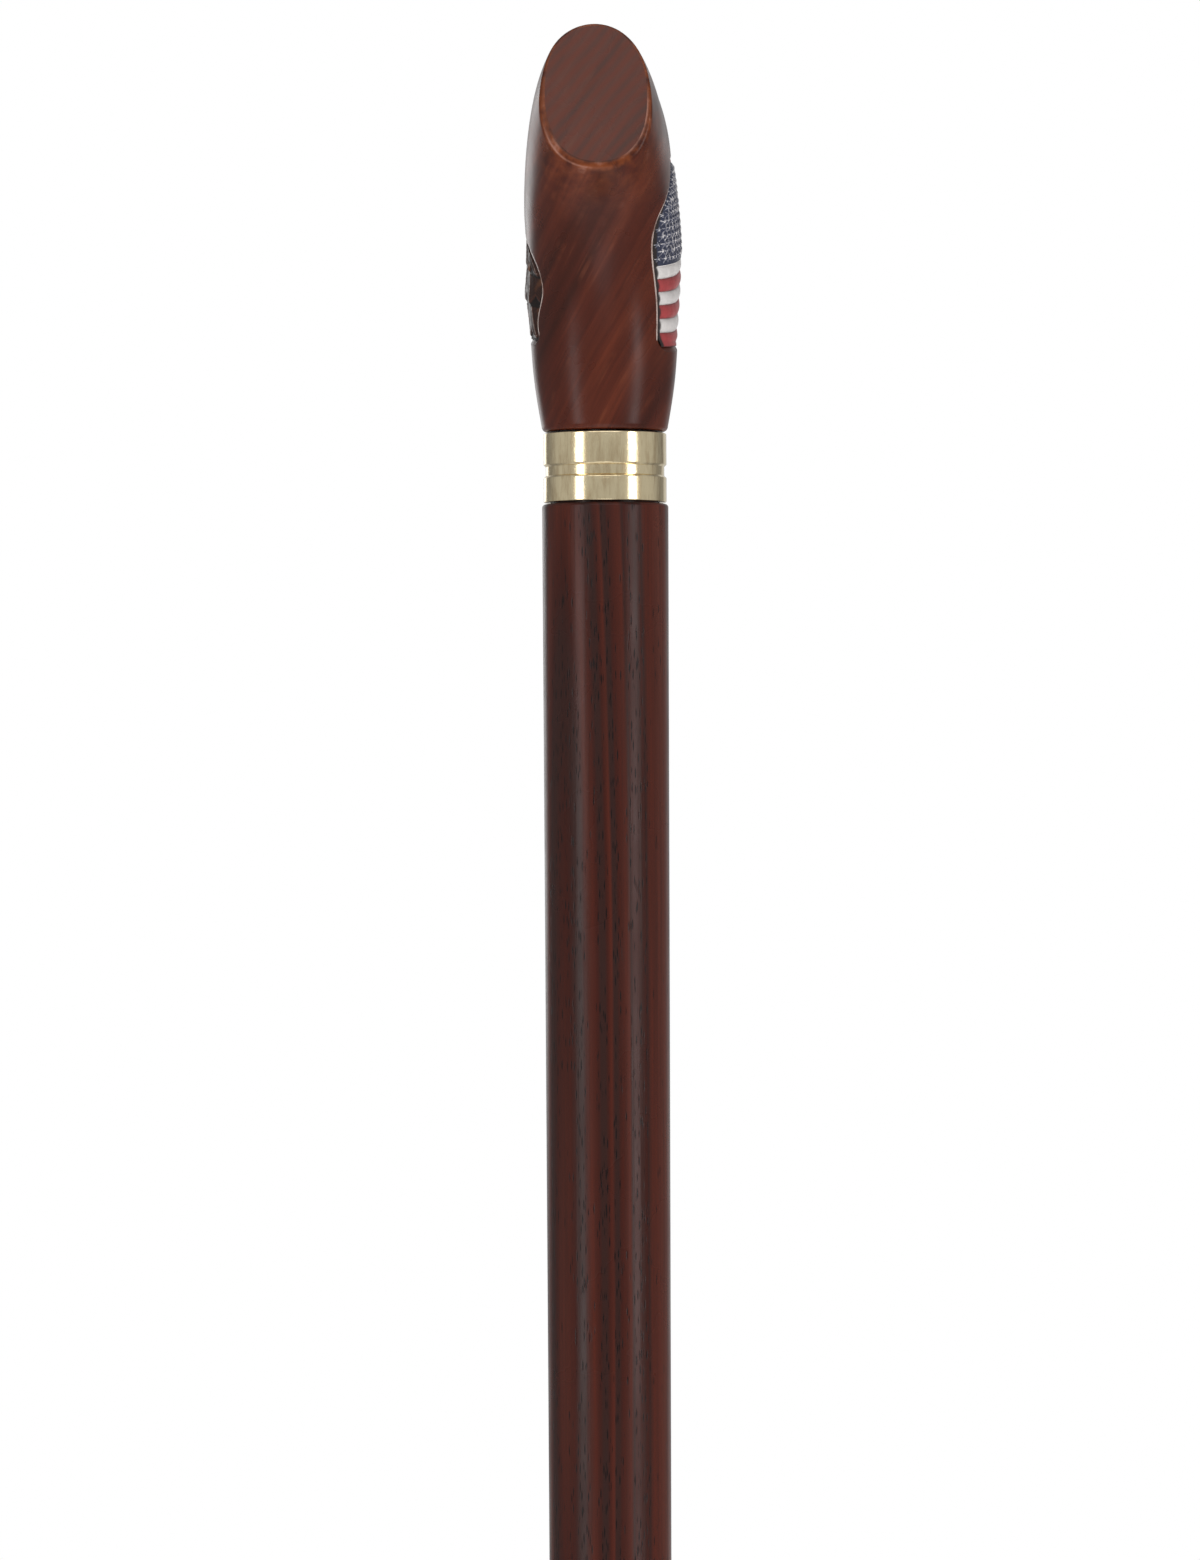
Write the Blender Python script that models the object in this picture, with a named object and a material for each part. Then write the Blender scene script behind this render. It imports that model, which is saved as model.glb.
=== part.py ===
# Walking cane: a carved derby handle with a relief in each side, a brass collar, a tapered wooden
# shaft, the steel stud that joins them, and a push-fit rubber tip.
# Metres, +Z up. The origin is the middle of the tip's sole. The nose points along -Y, and the flag
# relief is on the +X side.

import math

import bmesh
import bpy
import numpy as np
from mathutils import Vector
from mathutils.bvhtree import BVHTree

# Overall
overall_length = 0.9144
seam_gap = 0.0003

# Shaft
shaft_top_diameter = 0.0224
shaft_foot_diameter = 0.0190
shaft_edge_radius = 0.0006
tenon_wall_gap = 0.0003
foot_chamfer = 0.0010

# Collar
collar_diameter = 0.0218
collar_height = 0.0122
collar_wall = 0.0012
collar_edge_radius = 0.0003
groove_width = 0.0022
groove_depth = 0.0004
groove_above_bottom = 0.0044

# Handle: neck on the collar, head above it, nose in front, grip behind
handle_height = 0.0693
neck_diameter = 0.0224
neck_edge_radius = 0.0010
head_width = 0.0271
nose_reach = 0.0302
nose_rim_height = 0.0438
nose_lean = math.radians(12)
head_lean = -0.0010
face_width = 0.0193
face_fullness = 2.2
face_widest = 0.44
crook_reach = 0.0235
crook_height = 0.0330
grip_reach = 0.0940
grip_width = 0.0226
grip_top_height = 0.0620
grip_thickness = 0.0262
tail_length = 0.0130
tail_drop = 0.0045

# Stud
stud_diameter = 0.0080
stud_in_shaft = 0.0300
stud_in_handle = 0.0320
stud_chamfer = 0.0008
stud_gap = 0.0003

# Rubber tip
tip_height = 0.0420
tip_base_diameter = 0.0360
tip_neck_diameter = 0.0266
tip_floor = 0.0080
tip_gap = 0.0003
tip_base_height = 0.0100
tip_base_side = 0.0050
tip_waist_flare = 0.25
tip_edge_radius = 0.0012
tip_ring_height = 0.0024
tip_ring_depth = 0.0012
tip_ring_count = 3
tread_count = 3
tread_depth = 0.0012
washer_thickness = 0.0012
washer_rim_gap = 0.0004

# Reliefs
recess_edge_depth = 0.0011
recess_gap = 0.0010
inlay_back_gap = 0.0003
inlay_edge_drop = 0.0006
inlay_edge_share = 0.06
stripe_count = 13
canton_stripes = 7
canton_length = 0.42
stripe_puff = 0.00045
stripe_roundness = 0.7
flag_wave = 0.00035
flag_wave_count = 1.6
flag_wave_slant = 0.3
feather_rows = 4
feather_columns = 9
feather_puff = 0.00060
shoulder_puff = 0.00055
shoulder_place = (0.12, 0.5)
shoulder_spread = (0.14, 0.4)

# Edges of the reliefs, front to back or bottom to top, as places on the handle's side: the section,
# counted in handle_stations' rows, and the share of the way from its inner to its outer end
flag_edges = {
    "bottom": [(1.46, 0.8), (1.58, 0.46), (2.0, 0.24), (2.95, 0.15), (5.3, 0.1), (9.6, 0.12), (11.5, 0.18)],
    "top": [(6.2, 0.55), (7.4, 0.43), (9.3, 0.38), (11.0, 0.6), (11.8, 0.74)],
    "front": [(1.46, 0.8), (2.26, 0.81), (3.06, 0.845), (4.2, 0.792), (6.2, 0.55)],
    "back": [(11.5, 0.18), (11.7, 0.37), (11.75, 0.56), (11.8, 0.74)],
}
wing_edges = {
    "bottom": [(1.6, 0.71), (1.84, 0.35), (2.52, 0.2), (3.8, 0.14), (7.6, 0.1), (10.5, 0.14), (12.55, 0.29)],
    "top": [(3.4, 0.64), (4.8, 0.4), (7.5, 0.28), (10.1, 0.45), (11.4, 0.69), (12.1, 0.8), (12.7, 0.8)],
    "front": [(1.6, 0.71), (1.95, 0.695), (2.3, 0.745), (2.6, 0.77), (3.0, 0.73), (3.4, 0.64)],
    "back": [(12.55, 0.29), (12.9, 0.46), (12.95, 0.65), (12.7, 0.8)],
}

# Resolution
ring_steps = 48
stud_steps = 32
merge_distance = 0.00001
handle_sections = 46
handle_sides = 40
tail_sections = 6
corner_steps = 3
inlay_columns = 16
rows_per_stripe = 2
wing_rows = 24

# Heights that the pieces share, from the sole up
washer_base = tip_floor
shaft_foot_height = washer_base + washer_thickness + 2 * seam_gap
handle_base_height = overall_length - handle_height
collar_top_height = handle_base_height - seam_gap
collar_base_height = collar_top_height - collar_height
shoulder_height = collar_base_height - seam_gap
tenon_radius = collar_diameter / 2 - collar_wall - tenon_wall_gap
stud_base_height = shoulder_height - stud_in_shaft
stud_top_height = handle_base_height + stud_in_handle


def clear_scene():
    for thing in list(bpy.data.objects):
        bpy.data.objects.remove(thing, do_unlink=True)


def material(name, color, roughness, metallic=0.0):
    made = bpy.data.materials.new(name)
    made.use_nodes = True
    shader = made.node_tree.nodes["Principled BSDF"]
    shader.inputs["Base Color"].default_value = (*color, 1.0)
    shader.inputs["Roughness"].default_value = roughness
    shader.inputs["Metallic"].default_value = metallic
    return made


def add_object(name, mesh_source, look):
    mesh = bpy.data.meshes.new(name)
    bmesh.ops.recalc_face_normals(mesh_source, faces=mesh_source.faces)
    mesh_source.to_mesh(mesh)
    mesh_source.free()
    mesh.materials.append(look)
    mesh.shade_smooth()
    mesh.set_sharp_from_angle(angle=math.radians(35))
    made = bpy.data.objects.new(name, mesh)
    bpy.context.collection.objects.link(made)
    return made


def corner(radius, height, bend, start, stop):
    # Points of a rounded edge whose arc centre is at (radius, height).
    points = []
    for step in range(corner_steps + 1):
        angle = math.radians(start + (stop - start) * step / corner_steps)
        points.append((radius + bend * math.cos(angle), height + bend * math.sin(angle)))
    return points


def turned(profile, closed, steps=ring_steps):
    # Spins a profile of (radius, height) points about Z. A closed profile gives a ring, and an open one
    # starts and ends on the axis.
    source = bmesh.new()
    points = [source.verts.new((radius, 0, height)) for radius, height in profile]
    edges = [source.edges.new(pair) for pair in zip(points, points[1:])]
    if closed:
        edges.append(source.edges.new((points[-1], points[0])))
    bmesh.ops.spin(
        source,
        geom=points + edges,
        cent=(0, 0, 0),
        axis=(0, 0, 1),
        angle=2 * math.pi,
        steps=steps,
        use_merge=True,
    )
    bmesh.ops.remove_doubles(source, verts=source.verts, dist=merge_distance)
    return source


def smooth_at(rows, places):
    # Natural cubic spline through the rows, read at places counted in rows.
    rows = np.array(rows, float)
    size = len(rows)
    system = np.eye(size)
    right = np.zeros_like(rows)
    for row in range(1, size - 1):
        system[row, row - 1 : row + 2] = 1, 4, 1
        right[row] = 6 * (rows[row + 1] - 2 * rows[row] + rows[row - 1])
    bend = np.linalg.solve(system, right)
    places = np.array(places, float)
    low = np.minimum(places.astype(int), size - 2)
    share = (places - low)[:, None]
    rest = 1 - share
    straight = rest * rows[low] + share * rows[low + 1]
    return straight + ((rest**3 - rest) * bend[low] + (share**3 - share) * bend[low + 1]) / 6


def face_point(share):
    # A point (y, z) on the flat cut of the nose, from its lower rim (0) to its top edge (1).
    length = (handle_height - nose_rim_height) / math.cos(nose_lean)
    back = length * share * math.sin(nose_lean)
    return -nose_reach + back, nose_rim_height + length * share * math.cos(nose_lean)


def station(inner, outer, half_width, widest=0.5, fullness=2.0, lean=0.0):
    # A section of the handle between two (y, z) points. It is widest at a share of the way from inner
    # to outer, its fullness is 2 for an ellipse and more for a squarer shape, and it leans sideways.
    return (*inner, *outer, half_width, widest, fullness, lean)


def nose_station(share, inner, half_width, widest, fullness, lean):
    # A section through the nose, long enough to have the egg's width where the flat cut crosses it.
    away = (share - face_widest) / (1 - face_widest if share > face_widest else face_widest)
    egg = face_width / 2 * (1 - min(abs(away), 1) ** face_fullness) ** (1 / face_fullness)
    reach = (1 - (egg / half_width) ** fullness) ** (1 / fullness)
    scale = 1 / (widest + (1 - widest) * reach)
    outer = [near + (far - near) * scale for near, far in zip(inner, face_point(share))]
    return station(inner, outer, half_width, widest, fullness, lean)


def handle_stations():
    # The sections that shape the handle, from the foot of the neck, round the crook and the nose, to
    # the tail.
    foot = neck_edge_radius
    neck = neck_diameter / 2
    head = head_width / 2
    grip = grip_width / 2
    swell = head - neck
    bend = crook_reach - neck
    beak = nose_reach - neck
    rise = nose_rim_height - foot
    under = grip_top_height - grip_thickness
    drop = handle_height - grip_top_height
    back = grip_reach - tail_length - crook_reach
    lift = under - crook_height
    lean = head_lean
    return [
        station((neck, foot), (-neck, foot), neck),
        station(
            (neck + 0.30 * swell, 0.30 * crook_height),
            (-neck - 0.45 * swell, foot + 0.21 * rise),
            neck + 0.58 * swell,
        ),
        station(
            (neck + 0.22 * bend, 0.60 * crook_height),
            (-neck - 0.15 * beak, foot + 0.44 * rise),
            neck + 0.84 * swell,
            lean=0.05 * lean,
        ),
        station(
            (neck + 0.52 * bend, 0.83 * crook_height),
            (-neck - 0.31 * beak, foot + 0.66 * rise),
            neck + 0.97 * swell,
            fullness=2.05,
            lean=0.15 * lean,
        ),
        station(
            (neck + 0.82 * bend, 0.95 * crook_height),
            (-neck - 0.60 * beak, foot + 0.86 * rise),
            head,
            0.49,
            2.1,
            0.3 * lean,
        ),
        nose_station(0.0, (crook_reach, crook_height), head, 0.44, 2.05, 0.5 * lean),
        nose_station(
            0.25,
            (crook_reach + 0.03 * back, crook_height + 0.3 * lift),
            0.985 * head,
            0.39,
            2.0,
            0.7 * lean,
        ),
        nose_station(
            0.5,
            (crook_reach + 0.06 * back, crook_height + 0.6 * lift),
            0.955 * head,
            0.36,
            2.0,
            0.9 * lean,
        ),
        nose_station(
            0.75,
            (crook_reach + 0.10 * back, crook_height + 0.8 * lift),
            0.93 * head,
            0.35,
            1.95,
            lean,
        ),
        nose_station(
            1.0,
            (crook_reach + 0.15 * back, under),
            0.915 * head,
            0.36,
            2.0,
            1.08 * lean,
        ),
        station(
            (crook_reach + 0.22 * back, under + 0.02 * grip_thickness),
            (-0.22 * nose_reach, grip_top_height + 0.72 * drop),
            0.5 * head + 0.5 * grip,
            0.40,
            2.0,
            0.5 * lean,
        ),
        station(
            (crook_reach + 0.34 * back, under + 0.03 * grip_thickness),
            (0.45 * crook_reach, grip_top_height + 0.28 * drop),
            grip,
            0.44,
            2.0,
            0.3 * lean,
        ),
        station(
            (crook_reach + 0.52 * back, under + 0.02 * grip_thickness),
            (crook_reach + 0.28 * back, grip_top_height),
            grip,
            0.48,
            2.1,
        ),
        station(
            (crook_reach + 0.74 * back, under - 0.14 * tail_drop),
            (crook_reach + 0.66 * back, grip_top_height - 0.1 * tail_drop),
            grip,
            0.48,
            2.1,
        ),
        station(
            (crook_reach + 0.94 * back, under - 0.5 * tail_drop),
            (crook_reach + 1.04 * back, grip_top_height - 0.6 * tail_drop),
            0.94 * grip,
            0.48,
            2.1,
        ),
    ]


def section_outline(section):
    near_y, near_z, far_y, far_z, half_width, widest, fullness, lean = section
    outline = []
    for side in range(handle_sides):
        angle = 2 * math.pi * side / handle_sides
        across = math.copysign(abs(math.cos(angle)) ** (2 / fullness), math.cos(angle))
        along = math.copysign(abs(math.sin(angle)) ** (2 / fullness), math.sin(angle))
        share = widest + along * ((1 - widest) if along > 0 else widest)
        y = near_y + (far_y - near_y) * share
        z = near_z + (far_z - near_z) * share
        outline.append((half_width * across + lean, y, z))
    return outline


def handle_rings():
    # Rings of points from the foot of the neck to the tail, before anything is cut.
    neck = neck_diameter / 2
    rings = []
    for radius, height in corner(neck - neck_edge_radius, neck_edge_radius, neck_edge_radius, -90, 0)[:-1]:
        rings.append(section_outline(station((radius, height), (-radius, height), radius)))
    stations = handle_stations()
    sections = smooth_at(stations, np.linspace(0, len(stations) - 1, handle_sections))
    rings += [section_outline(section) for section in sections]
    last = np.array(rings[-1])
    middle = last.mean(axis=0)
    chord = np.array((0.0, sections[-1][2] - sections[-1][0], sections[-1][3] - sections[-1][1]))
    ahead = np.array((0.0, chord[2], -chord[1])) / np.linalg.norm(chord)
    for step in range(1, tail_sections):
        angle = 0.5 * math.pi * step / tail_sections
        centre = middle + ahead * tail_length * math.sin(angle)
        rings.append(centre + (last - middle) * math.cos(angle))
    return rings, middle + ahead * tail_length


def handle_blank():
    # The whole handle with no cut in it.
    rings, tail = handle_rings()
    source = bmesh.new()
    loops = [[source.verts.new(point) for point in ring] for ring in rings]
    for lower, upper in zip(loops, loops[1:]):
        for side in range(handle_sides):
            after = (side + 1) % handle_sides
            source.faces.new((lower[side], lower[after], upper[after], upper[side]))
    source.faces.new(loops[0])
    pole = source.verts.new(tail)
    for side in range(handle_sides):
        source.faces.new((loops[-1][side], loops[-1][(side + 1) % handle_sides], pole))
    bmesh.ops.recalc_face_normals(source, faces=source.faces)
    bmesh.ops.translate(source, verts=source.verts, vec=(0, 0, handle_base_height))
    return source


def cut_flat(source):
    # Saws the nose off along the plane of its face, and closes it with the flat cut.
    rim_y, rim_z = face_point(0)
    ahead = Vector((0, -math.cos(nose_lean), math.sin(nose_lean)))
    cut = bmesh.ops.bisect_plane(
        source,
        geom=source.verts[:] + source.edges[:] + source.faces[:],
        plane_co=(0, rim_y, rim_z + handle_base_height),
        plane_no=ahead,
        clear_outer=True,
    )
    edges = [item for item in cut["geom_cut"] if isinstance(item, bmesh.types.BMEdge)]
    bmesh.ops.contextual_create(source, geom=edges)
    bmesh.ops.remove_doubles(source, verts=source.verts, dist=2 * merge_distance)


def side_point(section, share):
    # The (y, z) of a point on the handle's side, in the handle's own sections.
    near_y, near_z, far_y, far_z = smooth_at(handle_stations(), [section])[0][:4]
    return near_y + (far_y - near_y) * share, near_z + (far_z - near_z) * share


def edge_curve(places, count):
    # A smooth edge through the given places on the handle's side.
    points = [side_point(*place) for place in places]
    return smooth_at(points, np.linspace(0, len(points) - 1, count))


def patch(edges, columns, rows):
    # A grid of (y, z) points filled in between four edges that meet at their ends.
    low = edge_curve(edges["bottom"], columns + 1)
    high = edge_curve(edges["top"], columns + 1)
    near = edge_curve(edges["front"], rows + 1)
    far = edge_curve(edges["back"], rows + 1)
    across = np.linspace(0, 1, columns + 1)[None, :, None]
    up = np.linspace(0, 1, rows + 1)[:, None, None]
    ruled = (1 - up) * low[None] + up * high[None] + (1 - across) * near[:, None] + across * far[:, None]
    corners = (1 - up) * ((1 - across) * low[0] + across * low[-1])
    corners = corners + up * ((1 - across) * high[0] + across * high[-1])
    return ruled - corners


def rim_of(grid):
    # The outline of a patch, once round.
    return np.concatenate([grid[0, :-1], grid[:-1, -1], grid[-1, :0:-1], grid[:0:-1, 0]])


def widened(outline, gap):
    # The outline moved outwards by the gap.
    before = outline - np.roll(outline, 1, axis=0)
    after = np.roll(outline, -1, axis=0) - outline
    before = before / np.linalg.norm(before, axis=1)[:, None]
    after = after / np.linalg.norm(after, axis=1)[:, None]
    normal = before + after
    normal = np.stack([normal[:, 1], -normal[:, 0]], axis=1)
    normal = normal / np.linalg.norm(normal, axis=1)[:, None]
    slant = np.abs(normal[:, 0] * before[:, 1] - normal[:, 1] * before[:, 0])
    turn = np.cross(outline, np.roll(outline, -1, axis=0)).sum()
    return outline + math.copysign(1, turn) * normal * (gap / np.maximum(slant, 0.5))[:, None]


def surface_reach(skin, side, point):
    # How far the uncut handle's skin is from its middle plane at a (y, z) point of one side.
    height = point[1] + handle_base_height
    start = Vector((side * head_width, point[0], height))
    hit = skin.ray_cast(start, Vector((-side, 0, 0)))[0]
    return abs(hit.x)


def recess_cutter(name, side, outline, floor):
    # The block that routs a flat-floored recess in one side of the handle.
    source = bmesh.new()
    near = [source.verts.new((side * floor, y, z + handle_base_height)) for y, z in outline]
    far = [source.verts.new((side * head_width, y, z + handle_base_height)) for y, z in outline]
    source.faces.new(near)
    source.faces.new(far)
    for index in range(len(near)):
        after = (index + 1) % len(near)
        source.faces.new((near[index], near[after], far[after], far[index]))
    made = add_object(name, source, wood)
    made.hide_render = True
    made.display_type = "WIRE"
    return made


def inlay(name, side, grid, floor, relief, look, skin):
    # A relief with a flat back, whose face follows the handle's skin plus its own relief.
    rows, columns = grid.shape[0], grid.shape[1]
    source = bmesh.new()
    front = []
    for row in range(rows):
        line = []
        for column in range(columns):
            y, z = grid[row, column]
            across = column / (columns - 1)
            up = row / (rows - 1)
            reach = surface_reach(skin, side, (y, z)) + relief(across, up)
            line.append(source.verts.new((side * reach, y, z + handle_base_height)))
        front.append(line)
    for row in range(rows - 1):
        for column in range(columns - 1):
            source.faces.new(
                (
                    front[row][column],
                    front[row][column + 1],
                    front[row + 1][column + 1],
                    front[row + 1][column],
                )
            )
    rim = front[0][:-1] + [line[-1] for line in front[:-1]] + front[-1][:0:-1]
    rim += [line[0] for line in front[:0:-1]]
    back = [source.verts.new((side * (floor + inlay_back_gap), vert.co.y, vert.co.z)) for vert in rim]
    for index in range(len(rim)):
        after = (index + 1) % len(rim)
        source.faces.new((rim[index], rim[after], back[after], back[index]))
    source.faces.new(back)
    return add_object(name, source, look)


def edge_drop(across, up):
    # Reliefs fall away at their edges.
    nearest = min(across, 1 - across, up, 1 - up)
    return -inlay_edge_drop * (1 - min(nearest / inlay_edge_share, 1)) ** 2


def flag_relief(across, up):
    # Puffed stripes with a slow wave, and a flat raised canton at the upper front.
    turns = flag_wave_count * (across - canton_length / 2) + flag_wave_slant * (up - 0.5)
    wave = flag_wave * math.cos(2 * math.pi * turns)
    stripe = abs(math.sin(math.pi * stripe_count * up)) ** stripe_roundness
    in_canton = across < canton_length and up > 1 - canton_stripes / stripe_count
    puff = stripe_puff if in_canton else stripe_puff * stripe
    return wave + puff - stripe_puff + edge_drop(across, up)


def wing_relief(across, up):
    # Rows of feathers: each row starts proud of the one above it and each feather is rounded.
    row = (1 - up) * feather_rows
    step = row - math.floor(row)
    turns = feather_columns * across + 0.5 * math.floor(row)
    feathers = abs(math.sin(math.pi * turns)) ** stripe_roundness
    away_back = (across - shoulder_place[0]) / shoulder_spread[0]
    away_up = (up - shoulder_place[1]) / shoulder_spread[1]
    shoulder = shoulder_puff * math.exp(-(away_back**2) - away_up**2)
    return feather_puff * (0.6 * step + 0.4 * feathers - 1) + shoulder + edge_drop(across, up)


def bored(target, radius, base, top):
    # Drills a round blind hole about Z.
    source = turned([(0, base), (radius, base), (radius, top), (0, top)], False, stud_steps)
    drill = add_object(target.name + "_drill", source, wood)
    cut(target, drill)


def cut(target, tool):
    tool.hide_render = True
    tool.display_type = "WIRE"
    boolean = target.modifiers.new(tool.name, "BOOLEAN")
    boolean.operation = "DIFFERENCE"
    boolean.solver = "EXACT"
    boolean.object = tool


def make_handle_and_inlays():
    blank = handle_blank()
    blank.normal_update()
    skin = BVHTree.FromBMesh(blank)
    cut_flat(blank)
    handle = add_object("handle", blank, wood)
    hole = stud_diameter / 2 + stud_gap
    bored(handle, hole, collar_base_height, stud_top_height + stud_gap)

    flag = patch(flag_edges, inlay_columns, stripe_count * rows_per_stripe)
    wing = patch(wing_edges, inlay_columns, wing_rows)
    for name, side, grid, relief, look in (
        ("flag_inlay", 1, flag, flag_relief, flag_paint),
        ("wing_inlay", -1, wing, wing_relief, wing_paint),
    ):
        outline = widened(rim_of(grid), recess_gap)
        floor = min(surface_reach(skin, side, point) for point in outline) - recess_edge_depth
        cut(handle, recess_cutter(name + "_recess", side, outline, floor))
        inlay(name, side, grid, floor, relief, look, skin)


def shaft_radius(height):
    share = (height - shaft_foot_height) / (shoulder_height - shaft_foot_height)
    return (shaft_foot_diameter + (shaft_top_diameter - shaft_foot_diameter) * share) / 2


def make_shaft():
    foot = shaft_radius(shaft_foot_height)
    hole = stud_diameter / 2 + stud_gap
    top = handle_base_height - seam_gap
    shoulder = shaft_top_diameter / 2 - shaft_edge_radius
    profile = [(0, shaft_foot_height), (foot - foot_chamfer, shaft_foot_height)]
    profile += [(foot, shaft_foot_height + foot_chamfer)]
    profile += corner(shoulder, shoulder_height - shaft_edge_radius, shaft_edge_radius, 0, 90)
    profile += [(tenon_radius, shoulder_height), (tenon_radius, top), (hole, top)]
    profile += [(hole, stud_base_height - stud_gap), (0, stud_base_height - stud_gap)]
    add_object("shaft", turned(profile, False), wood)


def make_collar():
    outer = collar_diameter / 2
    bore = outer - collar_wall
    low = collar_base_height + groove_above_bottom
    high = low + groove_width
    edge = collar_edge_radius
    profile = corner(outer - edge, collar_base_height + edge, edge, -90, 0)
    profile += [(outer, low - groove_depth), (outer - groove_depth, low)]
    profile += [(outer - groove_depth, high), (outer, high + groove_depth)]
    profile += corner(outer - edge, collar_top_height - edge, edge, 0, 90)
    profile += [(bore, collar_top_height), (bore, collar_base_height)]
    add_object("collar", turned(profile, True), brass)


def make_stud():
    radius = stud_diameter / 2
    profile = [(0, stud_base_height), (radius - stud_chamfer, stud_base_height)]
    profile += [(radius, stud_base_height + stud_chamfer), (radius, stud_top_height - stud_chamfer)]
    profile += [(radius - stud_chamfer, stud_top_height), (0, stud_top_height)]
    add_object("joining_stud", turned(profile, False, stud_steps), steel)


def make_tip():
    base = tip_base_diameter / 2
    neck = tip_neck_diameter / 2
    edge = tip_edge_radius
    profile = [(0, 0)]
    land = (base - 2 * edge) / (2 * tread_count + 1)
    for groove in range(tread_count):
        near = land * (2 * groove + 1)
        profile += [(near, 0), (near, tread_depth), (near + land, tread_depth), (near + land, 0)]
    profile += corner(base - edge, edge, edge, -90, 0)
    profile += corner(base - edge, tip_base_side, edge, 0, 60)
    shoulder = tip_base_height + tip_edge_radius
    profile += [(neck + tip_waist_flare * (base - neck), tip_base_height), (neck, shoulder + edge)]
    spare = tip_height - shoulder - 2 * edge
    pitch = spare / tip_ring_count
    for ring in range(tip_ring_count):
        low = shoulder + 2 * edge + pitch * (ring + 1) - tip_ring_height - edge
        profile += [(neck, low - tip_ring_depth), (neck + tip_ring_depth, low)]
        profile += [(neck + tip_ring_depth, low + tip_ring_height)]
        if ring < tip_ring_count - 1:
            profile.append((neck, low + tip_ring_height + tip_ring_depth))
    top_bore = shaft_radius(tip_height) + tip_gap
    foot_bore = shaft_radius(shaft_foot_height) + tip_gap
    profile += [(neck, tip_height), (top_bore, tip_height)]
    profile += [(foot_bore, shaft_foot_height), (foot_bore, tip_floor), (0, tip_floor)]
    add_object("rubber_tip", turned(profile, False), rubber)


def make_washer():
    radius = shaft_radius(shaft_foot_height) + tip_gap - washer_rim_gap
    low = tip_floor + seam_gap
    profile = [(0, low), (radius, low), (radius, low + washer_thickness), (0, low + washer_thickness)]
    add_object("tip_washer", turned(profile, False), steel)


clear_scene()
wood = material("stained_wood", (0.066, 0.018, 0.012), 0.32)
brass = material("brass", (0.52, 0.42, 0.22), 0.30, 1.0)
steel = material("steel", (0.45, 0.45, 0.46), 0.35, 1.0)
rubber = material("rubber", (0.012, 0.012, 0.013), 0.75)
flag_paint = material("flag_paint", (0.42, 0.05, 0.05), 0.45)
wing_paint = material("wing_paint", (0.40, 0.30, 0.20), 0.50)
make_handle_and_inlays()
make_shaft()
make_collar()
make_stud()
make_tip()
make_washer()
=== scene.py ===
# Walking cane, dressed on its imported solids: stained wood handle with a relief in each side, turned
# brass collar, open-pored tapered shaft and a moulded rubber tip, in plain soft studio light.
import math
from functools import partial

import bmesh
import bpy
import numpy as np
from mathutils import Matrix, Vector
from mathutils.bvhtree import BVHTree
from numpy.linalg import norm, solve


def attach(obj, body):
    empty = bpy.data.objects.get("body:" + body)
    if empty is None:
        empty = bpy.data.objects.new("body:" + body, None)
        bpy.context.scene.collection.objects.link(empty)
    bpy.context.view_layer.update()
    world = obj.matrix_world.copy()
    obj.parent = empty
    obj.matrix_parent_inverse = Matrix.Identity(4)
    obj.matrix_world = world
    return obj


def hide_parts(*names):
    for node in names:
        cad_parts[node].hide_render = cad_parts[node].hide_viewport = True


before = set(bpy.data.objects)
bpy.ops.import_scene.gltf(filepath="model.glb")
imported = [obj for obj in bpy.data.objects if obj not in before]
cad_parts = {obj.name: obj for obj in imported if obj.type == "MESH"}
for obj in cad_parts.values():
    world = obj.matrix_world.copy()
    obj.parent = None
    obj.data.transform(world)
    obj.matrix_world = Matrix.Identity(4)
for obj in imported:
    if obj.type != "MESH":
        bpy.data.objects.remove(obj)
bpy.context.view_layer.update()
scene = bpy.context.scene


# ---- helpers


def linearColour(hexColour):
    parts = [int(hexColour[at : at + 2], 16) / 255 for at in (1, 3, 5)]
    return (*[part / 12.92 if part <= 0.04045 else ((part + 0.055) / 1.055) ** 2.4 for part in parts], 1.0)


def setInputs(node, inputs):
    # Inputs are a list, or named or counted in a dictionary. Each takes a value, a hex colour, an output, or
    # a node, which stands for its first working output.
    for name, value in inputs.items() if isinstance(inputs, dict) else enumerate(inputs):
        if isinstance(value, bpy.types.Node):
            value = next(output for output in value.outputs if output.enabled)
        if isinstance(value, bpy.types.NodeSocket):
            node.id_data.links.new(value, node.inputs[name])
        else:
            node.inputs[name].default_value = linearColour(value) if isinstance(value, str) else value


def addNode(tree, kind, inputs=(), stops=None, **settings):
    # A math node's operation stands behind its kind, stops are (place, hex colour or grey), and a Mix is
    # always of colours, with its share at input 0 and its colours at 6 and 7.
    kind, *operation = kind.split()
    made = tree.nodes.new("ShaderNode" + kind)
    if kind == "Mix":
        made.data_type = "RGBA"
    if operation:
        made.operation = "_".join(operation).upper()
    for name, value in settings.items():
        setattr(made, name, value)
    if stops:
        ramp = made.color_ramp
        while len(ramp.elements) < len(stops):
            ramp.elements.new(0.5)
        for element, (place, shade) in zip(ramp.elements, stops):
            element.position = place
            element.color = linearColour(shade) if isinstance(shade, str) else (shade, shade, shade, 1)
    setInputs(made, inputs)
    return made


def newMaterial(name):
    look = bpy.data.materials.new(name)
    look.use_nodes = True
    add = partial(addNode, look.node_tree)
    return look, add, look.node_tree.nodes["Principled BSDF"], add("TexCoord").outputs["Object"]


def setSurface(shader, colour, roughness, bump=None, metallic=0.0, sheen=0.5):
    setInputs(shader, {"Base Color": colour, "Roughness": roughness, "Metallic": metallic})
    setInputs(shader, {"Specular IOR Level": sheen, **({"Normal": bump} if bump else {})})


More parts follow.
